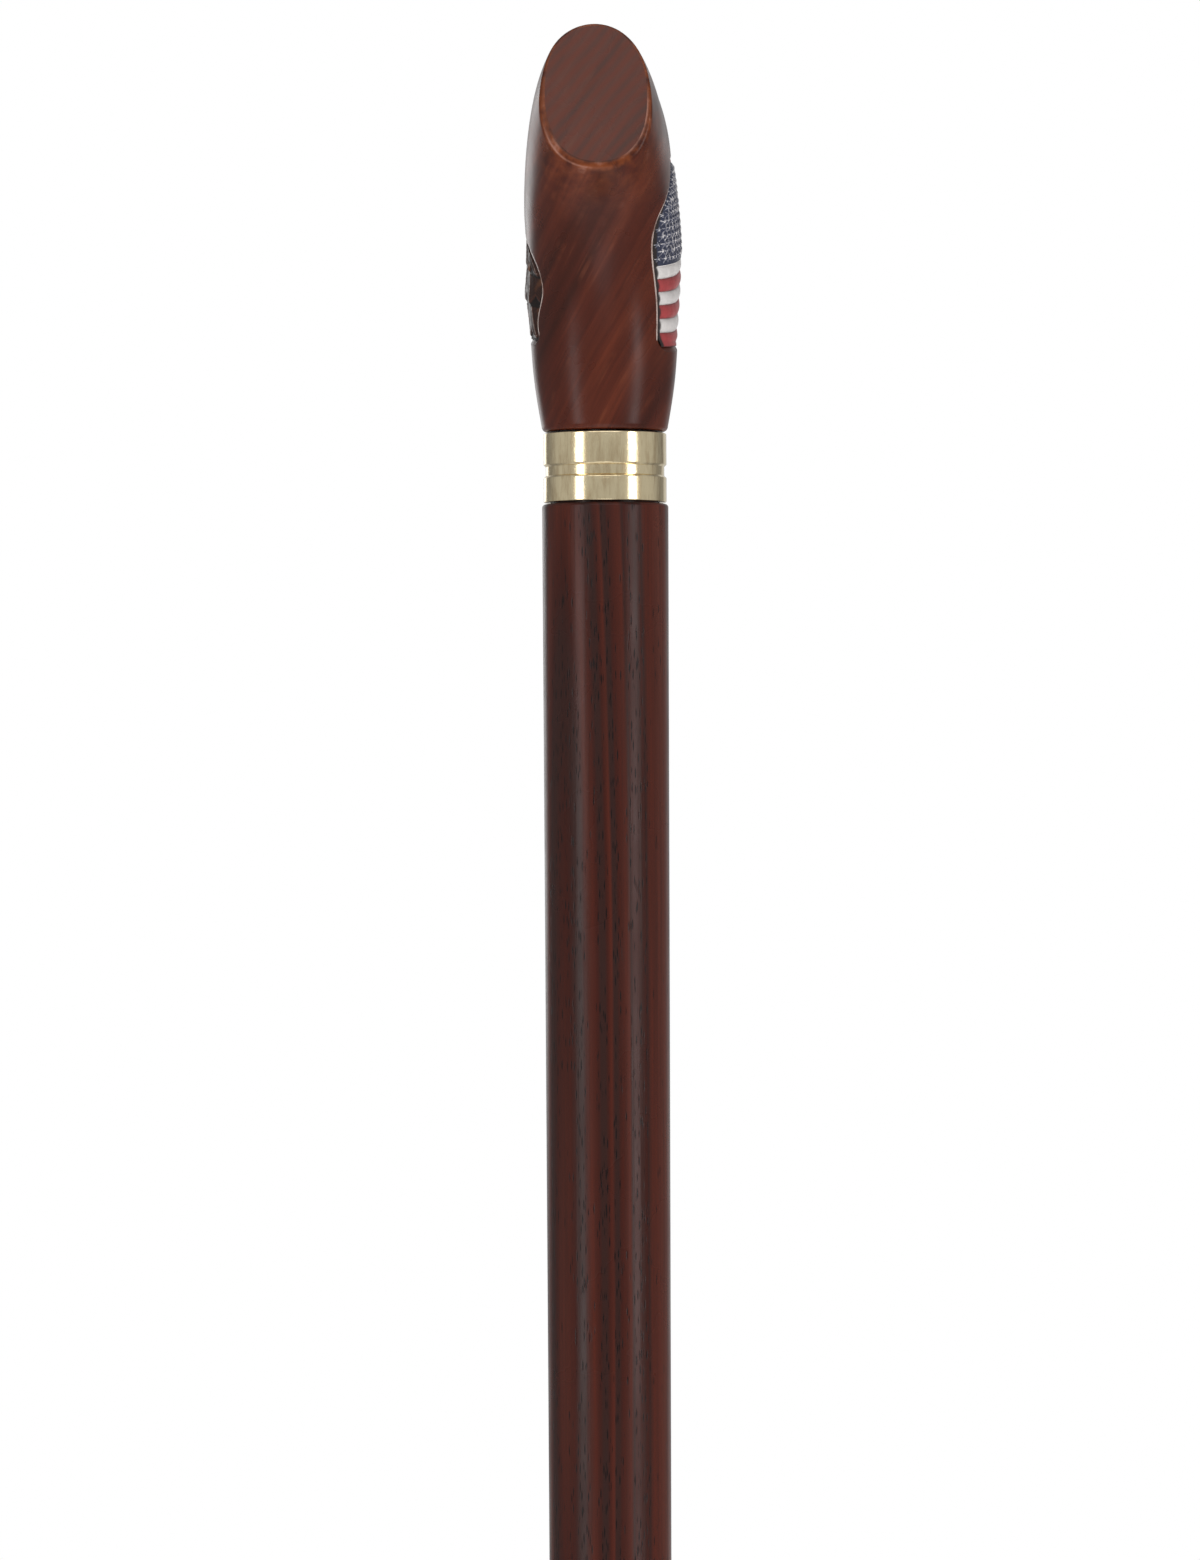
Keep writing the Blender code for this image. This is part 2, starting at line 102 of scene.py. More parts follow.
def newObject(name, shape, materials):
    bmesh.ops.recalc_face_normals(shape, faces=shape.faces)
    mesh = bpy.data.meshes.new(name)
    shape.to_mesh(mesh)
    shape.free()
    for look in materials:
        mesh.materials.append(look)
    made = bpy.data.objects.new(name, mesh)
    scene.collection.objects.link(made)
    return made


def finishPiece(piece, body, replaced, sharpFrom):
    piece.data.shade_smooth()
    piece.data.set_sharp_from_angle(angle=math.radians(sharpFrom))
    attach(piece, body)
    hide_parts(replaced)


def turnedShape(profile, steps, closed=False):
    # Spins (radius, height) points about the cane's axis.
    shape = bmesh.new()
    points = [shape.verts.new((radius, 0, height)) for radius, height in profile]
    edges = [shape.edges.new(pair) for pair in zip(points, points[1:])]
    if closed:
        edges.append(shape.edges.new((points[-1], points[0])))
    turn = {"cent": (0, 0, 0), "axis": (0, 0, 1), "angle": 2 * math.pi, "steps": steps}
    bmesh.ops.spin(shape, geom=points + edges, use_merge=True, **turn)
    bmesh.ops.remove_doubles(shape, verts=shape.verts, dist=1e-6)
    return shape


def arc(radius, height, bend, start, stop, steps):
    # Points of a rounded edge whose centre is at (radius, height).
    angles = [math.radians(start + (stop - start) * step / steps) for step in range(steps + 1)]
    return [(radius + bend * math.cos(angle), height + bend * math.sin(angle)) for angle in angles]


def smoothAt(rows, places):
    # Natural cubic spline through the rows, read at places counted in rows.
    rows = np.array(rows, float)
    size = len(rows)
    system = np.eye(size)
    right = np.zeros_like(rows)
    for row in range(1, size - 1):
        system[row, row - 1 : row + 2] = 1, 4, 1
        right[row] = 6 * (rows[row + 1] - 2 * rows[row] + rows[row - 1])
    bend = solve(system, right)
    places = np.array(places, float)
    low = np.minimum(places.astype(int), size - 2)
    share = (places - low)[:, None]
    rest = 1 - share
    straight = rest * rows[low] + share * rows[low + 1]
    return straight + ((rest**3 - rest) * bend[low] + (share**3 - share) * bend[low + 1]) / 6


# ---- camera, background and light

cameraValues = {
    "distance": 1.05,  # from the cane's axis
    "height": 0.78345,
    "azimuth": 1.0,  # degrees towards the flag side
    "lens": 136.66,
    "roll": -0.286,  # the cane leans a little in the picture
    "sideways": 0.00117,  # the cane stands right of the picture's middle
}

turn = math.radians(cameraValues["azimuth"])
lensAxis = Matrix.Rotation(turn, 4, "Z") @ Matrix.Rotation(math.radians(90), 4, "X")
cameraData = bpy.data.cameras.new("camera")
cameraData.lens = cameraValues["lens"]
cameraData.sensor_width = 36
camera = bpy.data.objects.new("camera", cameraData)
scene.collection.objects.link(camera)
place = Matrix.Translation((0, 0, cameraValues["height"])) @ lensAxis
place = place @ Matrix.Translation((-cameraValues["sideways"], 0, cameraValues["distance"]))
camera.matrix_world = place @ Matrix.Rotation(math.radians(cameraValues["roll"]), 4, "Z")
scene.camera = camera

# Place, aim, (width, height) and radiance of each soft light. The two cards lie flat, so that the floor
# isn't lit by them.
lightValues = {
    "leftStrip": ((-2.23, -2.01, 1.05), (0, 0, 1.05), (0.72, 1.7), 4.6),
    "rightStrip": ((2.43, -1.76, 1.05), (0, 0, 1.05), (0.72, 1.7), 5.6),
    "topPanel": ((0.0, -1.25, 1.75), (0, 0, 0.85), (1.6, 1.0), 1.3),
    "lowCard": ((0.0, -0.42, 0.06), (0, -0.42, 1), (1.4, 0.8), 3.1),
    "tableCard": ((0.0, -1.05, 0.12), (0, -1.05, 1), (0.55, 0.8), 1.3),
    "rearPanel": ((-0.64, 1.35, 0.94), (0, 0, 0.94), (0.5, 0.5), 1.2),
}

for name, (place, aim, size, radiance) in lightValues.items():
    data = bpy.data.lights.new(name, "AREA")
    data.shape = "RECTANGLE"
    data.size, data.size_y = size
    data.energy = radiance * math.pi * size[0] * size[1]
    light = bpy.data.objects.new(name, data)
    scene.collection.objects.link(light)
    light.location = place
    light.rotation_mode = "QUATERNION"
    light.rotation_quaternion = (Vector(aim) - Vector(place)).to_track_quat("-Z", "Y")
    light.visible_camera = False
    light.visible_glossy = name != "lowCard"

# Grey room in front, darker at the sides, white sweep behind
roomTones = [
    (0.0, 0.73), (0.36, 0.72), (0.48, 0.76), (0.60, 0.70), (0.70, 0.56),
    (0.80, 0.40), (0.88, 0.36), (0.93, 0.95), (1.0, 1.0),
]

world = bpy.data.worlds.new("studio")
scene.world = world
world.use_nodes = True
world.node_tree.nodes.clear()
add = partial(addNode, world.node_tree)
axes = add("SeparateXYZ", [add("TexCoord").outputs["Generated"]]).outputs
behind = add("MapRange", [axes[1], -1.0, 1.0])
room = add("ValToRGB", [behind], roomTones)
# A pale table right below the cane
table = add("MapRange", [axes[2], -0.98, -0.75, 1.2, 0.62])
studio = add("Background", [room, table])
white = add("Background", ["#FFFFFF", 1.0])
seen = add("LightPath").outputs["Is Camera Ray"]
add("OutputWorld", [add("MixShader", [seen, studio, white])])
scene.view_settings.view_transform = "Standard"

floorValues = {
    "radius": 4.5,
    "fadeFrom": 1.2,  # metres from the cane, where the floor starts to turn into the white background
    "gap": 0.0003,  # below the tip
    "colour": "#EDECEA",
    "roughness": 0.9,
}

floorLook, add, shader, spot = newMaterial("paleFloor")
setSurface(shader, floorValues["colour"], floorValues["roughness"])
away = add("VectorMath length", [spot])
reach = [away, floorValues["fadeFrom"], floorValues["radius"] * 0.97]
fade = add("MapRange", reach, interpolation_type="SMOOTHSTEP")
glow = add("Emission", ["#FFFFFF", 1.0])
blend = add("MixShader", [fade, shader, glow])
setInputs(floorLook.node_tree.nodes["Material Output"], [blend])
shape = bmesh.new()
below = Matrix.Translation((0, 0, -floorValues["gap"]))
bmesh.ops.create_circle(shape, cap_ends=True, radius=floorValues["radius"], segments=96, matrix=below)
floor = newObject("floor", shape, [floorLook])
floor.visible_glossy = False
print("camera, lights and floor are set")


# ---- materials

handleWoodValues = {
    "layerTurn": 150.0,  # degrees about Y, so that the growth layers rise to the right on the front
    "alongGrain": 42.0,  # pattern scale along the layers, against 1000 across them
    "dark": "#2E120B",
    "body": "#41190F",
    "light": "#542415",
    "line": "#673522",
    "lineSpacing": 0.7,  # mm
    "flat": "#5C433B",
    "flatShare": 0.3,
    "band": "#5A2718",
    "bandShare": 0.6,
    "bandSpacing": 1.8,  # mm
    "bandTurn": 138.0,
    "rim": "#6B3519",
    "rimDark": "#3A170D",
    "edge": "#94695A",
    "roughness": 0.29,
    "sheen": 0.20,
}

# Gives the handle its dark red-brown body with soft streaks, faint broken orange lines and fine grain, the
# duller sawn flat with a painted grey reflection, and the rubbed orange band round it, which is partly
# painted light on the rounding and below the nose.
values = handleWoodValues
handleWood, add, shader, spot = newMaterial("stainedLacqueredWood")
turned = add("Mapping", {0: spot, "Rotation": (0, math.radians(values["layerTurn"]), 0)})
sway = add("TexNoise", {0: turned, "Scale": 16.0, "Detail": 1.0}).outputs["Color"]
swayed = add("VectorMath multiply add", [sway, (0.005, 0.005, 0.005), turned])
# Across the layers 1 unit is 1 mm; along them the pattern is drawn out.
along = values["alongGrain"]
layers = add("Mapping", {0: swayed, "Scale": (1000.0, along, along)})
broad = add("TexNoise", {0: layers, "Scale": 0.24, "Detail": 2.0, "Roughness": 0.5})
tone = add("ValToRGB", [broad], [(0.34, values["dark"]), (0.50, values["body"]), (0.66, values["light"])])
fine = add("TexNoise", {0: layers, "Scale": 2.2, "Detail": 3.0, "Roughness": 0.6})
fineShare = add("MapRange", [fine, 0.35, 0.65, 0.0, 0.40])
streaked = add("Mix", {0: fineShare, 6: tone, 7: values["dark"]})
bands = add("TexNoise", {0: layers, "Scale": 0.8 / values["lineSpacing"], "Detail": 1.0})
lines = add("ValToRGB", [bands], [(0.54, 0.0), (0.68, 1.0)])
# The lines come and go, and are broken into dashes.
patchy = add("TexNoise", {0: turned, "Scale": 210.0, "Detail": 4.0})
patches = add("MapRange", [patchy, 0.42, 0.66, 0.0, 0.34])
lineShare = add("Math multiply", [lines, patches])
lined = add("Mix", {0: lineShare, 6: streaked, 7: values["line"]})
# The lacquer is handled smooth in places and duller in others, and the grain telegraphs through it.
handled = add("TexNoise", {0: spot, "Scale": 110.0, "Detail": 3.0})
dull = values["roughness"]
rough = add("MapRange", [handled, 0.3, 0.7, dull - 0.05, dull + 0.05])
grain = add("Bump", {"Strength": 0.5, "Distance": 0.00002, "Height": fine})
peel = add("TexNoise", {0: spot, "Scale": 420.0, "Detail": 1.0})
skinned = add("Bump", {"Strength": 0.5, "Distance": 0.00003, "Height": peel, "Normal": grain})
# The flat is mixed towards a duller grey-brown: its sawn end grain, and partly a painted grey reflection.
flatPlace = add("Attribute", attribute_name="flat").outputs["Fac"]
flatShare = add("Math multiply", [flatPlace, values["flatShare"]])
flattened = add("Mix", {0: flatShare, 6: lined, 7: values["flat"]})
# The saw leaves the layers on the flat as reddish bands.
bandTurn = (0, math.radians(values["bandTurn"]), 0)
tilted = add("Mapping", {0: spot, "Rotation": bandTurn, "Scale": (1000.0, 1000.0, 1000.0)})
wave = {"Scale": 0.314 / values["bandSpacing"], "Distortion": 2.5, "Detail": 3.0, "Detail Scale": 0.6}
sawn = add("TexWave", {0: tilted, **wave}).outputs[1]
sawnShare = add("Math multiply", [add("Math multiply", [sawn, flatPlace]), values["bandShare"]])
banded = add("Mix", {0: sawnShare, 6: flattened, 7: values["band"]})
# The orange band is rubbed wood and also painted light: its mottled orange and pale tones stand for light on
# the rounding.
mottle = add("TexNoise", {0: spot, "Scale": 330.0, "Detail": 3.0, "Roughness": 0.6})
rubbed = add("ValToRGB", [mottle], [(0.38, values["rimDark"]), (0.62, values["rim"]), (0.84, values["edge"])])
rimPlace = add("Attribute", attribute_name="rim").outputs["Fac"]
rimmed = add("Mix", {0: rimPlace, 6: banded, 7: rubbed})
# The edge is painted pale as a highlight line where its place is above 0, and dark as a shadow line where it
# is below; the painted highlight streak on the rounding uses the same pale.
edgePlace = add("Attribute", attribute_name="edge").outputs["Fac"]
worn = add("MapRange", [mottle, 0.35, 0.6, 0.3, 1.0])
paintedHighlightShare = add("Math multiply", [edgePlace, worn], use_clamp=True)
edgeHighlighted = add("Mix", {0: paintedHighlightShare, 6: rimmed, 7: values["edge"]})
paintedShadowShare = add("Math multiply", [edgePlace, -1.0], use_clamp=True)
stainedAndShaded = add("Mix", {0: paintedShadowShare, 6: edgeHighlighted, 7: values["dark"]})
setSurface(shader, stainedAndShaded, rough, skinned, sheen=values["sheen"])

# Gives the thin pale line round each recess, where the lacquer is buffed off the lip, together with a painted
# highlight along the lip.
lipValues = {"pale": "#A8968F", "worn": "#66493F", "roughness": 0.3}
buffedLipHighlight, add, shader, spot = newMaterial("buffedLipPaintedHighlight")
wear = add("TexNoise", {0: spot, "Scale": 240.0, "Detail": 3.0})
tone = add("ValToRGB", [wear], [(0.34, lipValues["worn"]), (0.52, lipValues["pale"])])
setSurface(shader, tone, lipValues["roughness"])

# Gives the near-black groove between each relief and the wood: wax and dirt, together with painted shade in
# the recess.
grooveValues = {"waxAndShade": "#120B0A", "bare": "#2C1611", "roughness": 0.5}
waxAndShadeGroove, add, shader, spot = newMaterial("waxAndPaintedShadeCarving")
waxAndShade = add("TexNoise", {0: spot, "Scale": 900.0, "Detail": 3.0})
tone = add("ValToRGB", [waxAndShade], [(0.4, grooveValues["waxAndShade"]), (0.7, grooveValues["bare"])])
bump = add("Bump", {"Strength": 0.6, "Distance": 0.00005, "Height": waxAndShade})
setSurface(shader, tone, grooveValues["roughness"], bump)

shaftWoodValues = {
    "layerAzimuth": -43.5,  # degrees from the front, where the growth layers lie flat to the surface
    "shoulder": 0.8323,
    "sweep": 1.7,  # mm that the layers lean out over the top of the shaft
    "sweepLength": 0.045,
    "drift": 1.1,  # mm that the layers wander
    "dark": "#2B1815",
    "pore": "#0E0707",
    "deep": "#301712",
    "body": "#36130C",
    "light": "#481D13",
    "warm": "#53281E",
    "roughness": 0.28,
    "sheen": 0.17,
    # Growth layers as (mm from the axis towards the layer azimuth, tone)
    "layers": [
        (-12.0, "warm"), (-9.6, "warm"), (-8.9, "deep"), (-8.2, "warm"), (-6.0, "light"), (-5.3, "deep"),
        (-4.4, "warm"), (-1.6, "warm"), (0.4, "light"), (1.9, "light"), (2.6, "dark"), (3.0, "body"),
        (3.9, "deep"), (4.6, "body"), (5.5, "body"), (5.85, "dark"), (6.3, "light"), (7.9, "body"),
        (8.2, "dark"), (8.7, "dark"), (9.0, "light"), (9.5, "body"), (9.8, "dark"), (10.3, "dark"),
        (10.6, "body"), (11.3, "light"), (11.7, "body"), (11.9, "dark"), (12.2, "dark"), (12.45, "body"),
        (13.0, "warm"),
    ],
}

# Gives the shaft its long cathedral streaks and the dark dashes of open pores under satin lacquer.
values = shaftWoodValues
shaftWood, add, shader, spot = newMaterial("openPoredStainedAsh")
azimuth = math.radians(values["layerAzimuth"])
outward = (1000 * math.sin(azimuth), -1000 * math.cos(azimuth), 0.0)
depth = add("VectorMath dot product", [spot, outward])
height = add("SeparateXYZ", [spot]).outputs[2]
below = add("Math subtract", [height, values["shoulder"]])
faded = add("Math divide", [below, values["sweepLength"]])
fallen = add("Math exponent", [faded])
lean = add("Math multiply add", [fallen, -values["sweep"], values["sweep"]])
leaned = add("Math add", [depth, lean])
drawn = add("Mapping", {0: spot, "Scale": (45.0, 45.0, 7.0)})
drift = add("TexNoise", {0: drawn, "Scale": 1.0, "Detail": 2.0})
layer = add("Math multiply add", [drift, values["drift"], leaned])
# Half of the drift is taken off again, because the noise's middle is 0.5.
layer = add("Math subtract", [layer, values["drift"] / 2])
first, last = values["layers"][0][0], values["layers"][-1][0]
stops = [((at - first) / (last - first), values[shade]) for at, shade in values["layers"]]
tone = add("ValToRGB", [add("MapRange", [layer, first, last])], stops)
fibres = add("Mapping", {0: spot, "Scale": (1500.0, 1500.0, 22.0)})
fibre = add("TexNoise", {0: fibres, "Scale": 1.0, "Detail": 3.0, "Roughness": 0.6})
fibreShare = add("MapRange", [fibre, 0.36, 0.68, 0.0, 0.55])
fibred = add("Mix", {0: fibreShare, 6: tone, 7: values["deep"]})
# Pores are slits about 0.2 mm wide and 2 mm long, kept to some cells and mostly to the dark layers.
cells = add("Mapping", {0: spot, "Scale": (3300.0, 3300.0, 400.0)})
slits = add("TexVoronoi", {0: cells, "Scale": 1.0}, voronoi_dimensions="3D")
slit = add("MapRange", [slits, 0.22, 0.48, 1.0, 0.0])
chosen = add("SeparateColor", [slits.outputs["Color"]])
shade = add("RGBToBW", [tone])
darkness = add("MapRange", [shade, 0.011, 0.017, 0.5, 0.05])
kept = add("Math less than", [chosen, darkness])
pore = add("Math multiply", [kept, slit])
pored = add("Mix", {0: pore, 6: fibred, 7: values["pore"]})
handled = add("TexNoise", {0: spot, "Scale": 60.0, "Detail": 3.0})
dull = values["roughness"]
rough = add("MapRange", [handled, 0.3, 0.7, dull - 0.04, dull + 0.06])
height = add("Math multiply add", [pore, -0.6, fibre])
bump = add("Bump", {"Strength": 0.6, "Distance": 0.00004, "Height": height})
setSurface(shader, pored, rough, bump, sheen=values["sheen"])

brassValues = {"polished": "#F7E6BE", "tarnished": "#C4AC84", "roughness": 0.12}

# Gives the collar its pale gold with turning rings, thin scratches and a faint brown film.
values = brassValues
brass, add, shader, spot = newMaterial("turnedBrass")
turning = add("Mapping", {0: spot, "Scale": (160.0, 160.0, 16000.0)})
rings = add("TexNoise", {0: turning, "Scale": 1.0, "Detail": 3.0})
rubbed = add("Mapping", {0: spot, "Scale": (900.0, 900.0, 190.0)})
film = add("TexNoise", {0: rubbed, "Scale": 1.0, "Detail": 4.0, "Roughness": 0.6})
filmed = add("ValToRGB", [film], [(0.42, values["polished"]), (0.80, values["tarnished"])])
dull = values["roughness"]
rough = add("MapRange", [film, 0.35, 0.75, dull, dull + 0.10])
scratches = add("Mapping", {0: spot, "Rotation": (0.5, 0.3, 0.9), "Scale": (300.0, 9000.0, 9000.0)})
scratch = add("TexNoise", {0: scratches, "Scale": 0.35, "Detail": 2.0})
scratched = add("MapRange", [scratch, 0.62, 0.70])
lathe = add("Bump", {"Strength": 0.12, "Distance": 0.000006, "Height": rings})
marred = add("Bump", {"Strength": 0.3, "Distance": 0.00001, "Height": scratched, "Normal": lathe})
setSurface(shader, filmed, rough, marred, metallic=1.0)

rubberValues = {"colour": "#1D1D1E", "dust": "#3E3B38", "roughness": 0.62}

# Gives the tip its matt near-black with a faint moulded stipple and dust on the upward faces.
values = rubberValues
rubber, add, shader, spot = newMaterial("mouldedRubber")
stipple = add("TexNoise", {0: spot, "Scale": 1800.0, "Detail": 2.0})
dusty = add("TexNoise", {0: spot, "Scale": 90.0, "Detail": 5.0, "Roughness": 0.65})
facing = add("SeparateXYZ", [add("NewGeometry").outputs["Normal"]]).outputs[2]
upward = add("MapRange", [facing, -0.1, 0.9, 0.25, 0.9])
settled = add("MapRange", [dusty, 0.42, 0.72])
dust = add("Math multiply", [upward, settled])
tone = add("Mix", {0: dust, 6: values["colour"], 7: values["dust"]})
dull = values["roughness"]
rough = add("MapRange", [dust, 0.0, 1.0, dull, dull + 0.25])
bump = add("Bump", {"Strength": 0.35, "Distance": 0.00003, "Height": stipple})
setSurface(shader, tone, rough, bump)

steelValues = {"bright": "#C3C4C6", "dull": "#85878B", "roughness": 0.3}

# Gives the hidden stud and washer their brushed zinc with dull patches.
values = steelValues
steel, add, shader, spot = newMaterial("zincPlatedSteel")
bloom = add("TexNoise", {0: spot, "Scale": 320.0, "Detail": 4.0})
tone = add("ValToRGB", [bloom], [(0.35, values["bright"]), (0.7, values["dull"])])
dull = values["roughness"]
rough = add("MapRange", [bloom, 0.3, 0.7, dull, dull + 0.2])
setSurface(shader, tone, rough, metallic=1.0)

flagPaintValues = {
    "white": "#CBC6C4",
    "red": "#983638",
    "navy": "#252A3F",
    "star": "#7C7B83",
    "waxAndShade": "#1B1110",
    "stripes": 13,
    "cantonStripes": 7,
    "cantonLength": 0.5,
    "roughness": 0.36,
}


def placeOutputs(add):
    # A relief's points carry their place across and up, and how low or high they lie in its carving.
    return add("SeparateXYZ", [add("Attribute", attribute_name="place").outputs["Vector"]]).outputs


def agedPaint(add, shader, colour, crease, spot, waxAndShade, sheen=0.5):
    # Hand-painted resin: brush-dull patches, tiny chips, and wax left in the creases, which also paints the
    # shade there.
    brushed = add("TexNoise", {0: spot, "Scale": 700.0, "Detail": 4.0, "Roughness": 0.6})
    shade = add("MapRange", [brushed, 0.3, 0.75, 0.0, 0.22])
    brushedOn = add("Mix", {0: shade, 6: colour, 7: waxAndShade})
    stainedAndShaded = add("Mix", {0: crease, 6: brushedOn, 7: waxAndShade})
    dull = flagPaintValues["roughness"]
    rough = add("MapRange", [brushed, 0.3, 0.7, dull - 0.06, dull + 0.1])
    bump = add("Bump", {"Strength": 0.5, "Distance": 0.00004, "Height": brushed})
    setSurface(shader, stainedAndShaded, rough, bump, sheen=sheen)


# Gives the flag its matt stripes and navy corner, browned where wax sits low, which also paints shade into
# the creases and along the border.
values = flagPaintValues
flagPaint, add, shader, spot = newMaterial("paintedResinFlag")
across, up, waxAndShade = placeOutputs(add)
counted = add("Math multiply", [up, values["stripes"] / 2])
within = add("Math fract", [counted])
isWhite = add("Math greater than", [within, 0.5])
striped = add("Mix", {0: isWhite, 6: values["red"], 7: values["white"]})
nearFront = add("Math less than", [across, values["cantonLength"]])
cantonFoot = 1 - values["cantonStripes"] / values["stripes"]
nearTop = add("Math greater than", [up, cantonFoot])
inCanton = add("Math multiply", [nearFront, nearTop])
flagColour = add("Mix", {0: inCanton, 6: striped, 7: values["navy"]})
agedPaint(add, shader, flagColour, waxAndShade, spot, values["waxAndShade"])

# Gives the raised stars their rubbed grey-white, palest on the ridges.
starPaint, add, shader, spot = newMaterial("rubbedStarPaint")
ridge = placeOutputs(add)[2]
worn = add("TexNoise", {0: spot, "Scale": 1500.0, "Detail": 2.0})
rubbed = add("Math multiply add", [worn, 0.9, ridge])
tone = add("ValToRGB", [rubbed], [(0.66, values["navy"]), (0.96, values["star"]), (1.0, values["white"])])
setSurface(shader, tone, values["roughness"])

wingPaintValues = {
    "low": "#160C09",
    "mid": "#371D15",
    "warm": "#7A4A2C",
    "ridge": "#A39288",
    "waxAndShade": "#120B0A",
    "sheen": 0.22,
}

# Gives the wing its dark wash, darkest in the lows as painted shade, rubbed pale ridges that are partly
# painted highlights, and a few warm brown feathers.
values = wingPaintValues
wingPaint, add, shader, spot = newMaterial("antiquedResinWing")
ridge = placeOutputs(add)[2]
stops = [(0.30, values["low"]), (0.62, values["mid"]), (0.86, values["mid"]), (0.97, values["ridge"])]
tone = add("ValToRGB", [ridge], stops)
warmth = add("TexNoise", {0: spot, "Scale": 260.0, "Detail": 1.0})
warmShare = add("MapRange", [warmth, 0.60, 0.72, 0.0, 0.4])
warmed = add("Mix", {0: warmShare, 6: tone, 7: values["warm"]})
crease = add("MapRange", [ridge, 0.1, 0.35, 0.9, 0.0])
agedPaint(add, shader, warmed, crease, spot, values["waxAndShade"], values["sheen"])
print("materials are made")


# ---- handle

handleValues = {
    "base": 0.8451,
    "height": 0.0693,
    "neckWidth": 0.0224,
    "neckEdge": 0.0010,
    "headWidth": 0.0271,
    # From the neck round the crook to the end of the grip, in mm above the base: the inner and the outer
    # (y, z) point of the side view, then half the width, its place between them from 0 to 1, how full the
    # section is (2 is an ellipse) and how far it leans to the flag side
    "sections": [
        (11.2, 1.0, -11.2, 1.0, 11.2, 0.5, 2.0, 0.0),
        (11.905, 9.9, -12.2575, 9.988, 12.563, 0.5, 2.0, 0.0),
        (13.906, 19.8, -14.05, 19.832, 13.174, 0.5, 2.0, -0.05),
        (17.596, 27.39, -17.09, 29.248, 13.4795, 0.5, 2.05, -0.15),
        (21.286, 31.35, -22.6, 37.808, 13.55, 0.49, 2.1, -0.3),
        (23.5, 33.0, -30.2, 43.8, 13.55, 0.44, 2.05, -0.5),
        (25.225, 33.84, -38.8763477, 53.2055714, 13.34675, 0.39, 2.0, -0.7),
        (26.95, 34.68, -42.1208064, 62.4276342, 12.94025, 0.36, 2.0, -0.9),
        (29.25, 35.24, -37.5523732, 68.6322275, 12.6015, 0.35, 1.95, -1.0),
        (32.125, 35.8, -24.7798077, 69.3, 12.39825, 0.36, 2.0, -1.08),
        (36.15, 36.324, -6.644, 67.256, 12.425, 0.4, 2.0, -0.5),
        (43.05, 36.586, 10.575, 64.044, 11.3, 0.44, 2.0, -0.3),
        (53.4, 36.324, 39.6, 62.0, 11.3, 0.48, 2.1, 0.0),
        (66.05, 35.17, 61.45, 61.55, 11.3, 0.48, 2.1, 0.0),
        (77.55, 33.55, 83.3, 59.3, 10.622, 0.48, 2.1, 0.0),
    ],
    "tailLength": 0.0130,
    # The nose is sawn off through this point, leaning back by this angle.
    "noseReach": 0.0302,
    "noseRimHeight": 0.0438,
    "noseLean": math.radians(12),
    "studHole": 0.0043,
    "studHoleFoot": 0.83,
    "studHoleTop": 0.8774,
    # How far the flat's rim is rounded over, by degrees from its top towards the flag side
    "rimRounds": [
        (0, 0.0002), (50, 0.0002), (90, 0.0005), (120, 0.0007), (145, 0.0009), (180, 0.0009),
        (215, 0.0010), (240, 0.0009), (270, 0.00065), (305, 0.0003), (330, 0.0002), (360, 0.0002),
    ],
    "rimSteps": 7,
    "edgeLine": 0.00007,
    # How far behind the flat and how strongly the band's colour spreads onto the skin, as rubbed wood and as
    # painted light below the nose
    "rubAndLightReach": 0.009,
    "rubAndLightShare": 0.3,
    # How far the flat's edge is painted pale as a highlight line (up to 1) and dark as a shadow line (down to
    # -1), by the same degrees
    "edgeTones": [(0, 0), (80, 0), (105, 0.8), (150, 0.7), (168, -0.7), (225, -0.8), (250, 0), (360, 0)],
    # Where a pale painted highlight streak lies on the rounding, which also stands for buffing, by the same
    # degrees
    "rubAndHighlightTones": [(0, 0), (185, 0), (200, 0.7), (228, 0.8), (250, 0), (360, 0)],
    "rings": 230,
    "sides": 120,
    "tailRings": 24,
    "footRings": 5,
    "boreSteps": 48,
}


# The lengths in mm turn into metres.
sections = np.array(handleValues["sections"]) * ([0.001] * 5 + [1, 1, 0.001])


def sectionRing(section, sides):
    nearY, nearZ, farY, farZ, halfWidth, widest, fullness, lean = section
    angles = 2 * math.pi * np.arange(sides) / sides
    across = np.sign(np.cos(angles)) * np.abs(np.cos(angles)) ** (2 / fullness)
    along = np.sign(np.sin(angles)) * np.abs(np.sin(angles)) ** (2 / fullness)
    share = widest + along * np.where(along > 0, 1 - widest, widest)
    ring = [halfWidth * across + lean, nearY + (farY - nearY) * share, nearZ + (farZ - nearZ) * share]
    return np.stack(ring, axis=1)


def handleRings():
    values = handleValues
    sides = values["sides"]
    neck, edge = values["neckWidth"] / 2, values["neckEdge"]
    rings = []
    for radius, height in arc(neck - edge, edge, edge, -90, 0, values["footRings"])[:-1]:
        rings.append(sectionRing((radius, height, -radius, height, radius, 0.5, 2.0, 0.0), sides))
    smooth = smoothAt(sections, np.linspace(0, len(sections) - 1, values["rings"]))
    rings += [sectionRing(section, sides) for section in smooth]
    last = rings[-1]
    middle = last.mean(axis=0)
    chord = np.array((0.0, smooth[-1][2] - smooth[-1][0], smooth[-1][3] - smooth[-1][1]))
    ahead = np.array((0.0, chord[2], -chord[1])) / norm(chord)
    for step in range(1, values["tailRings"] + 1):
        angle = 0.5 * math.pi * step / values["tailRings"]
        centre = middle + ahead * values["tailLength"] * math.sin(angle)
        rings.append(centre + (last - middle) * math.cos(angle))
    rings = np.array(rings)
    rings[:, :, 2] += values["base"]
    return rings


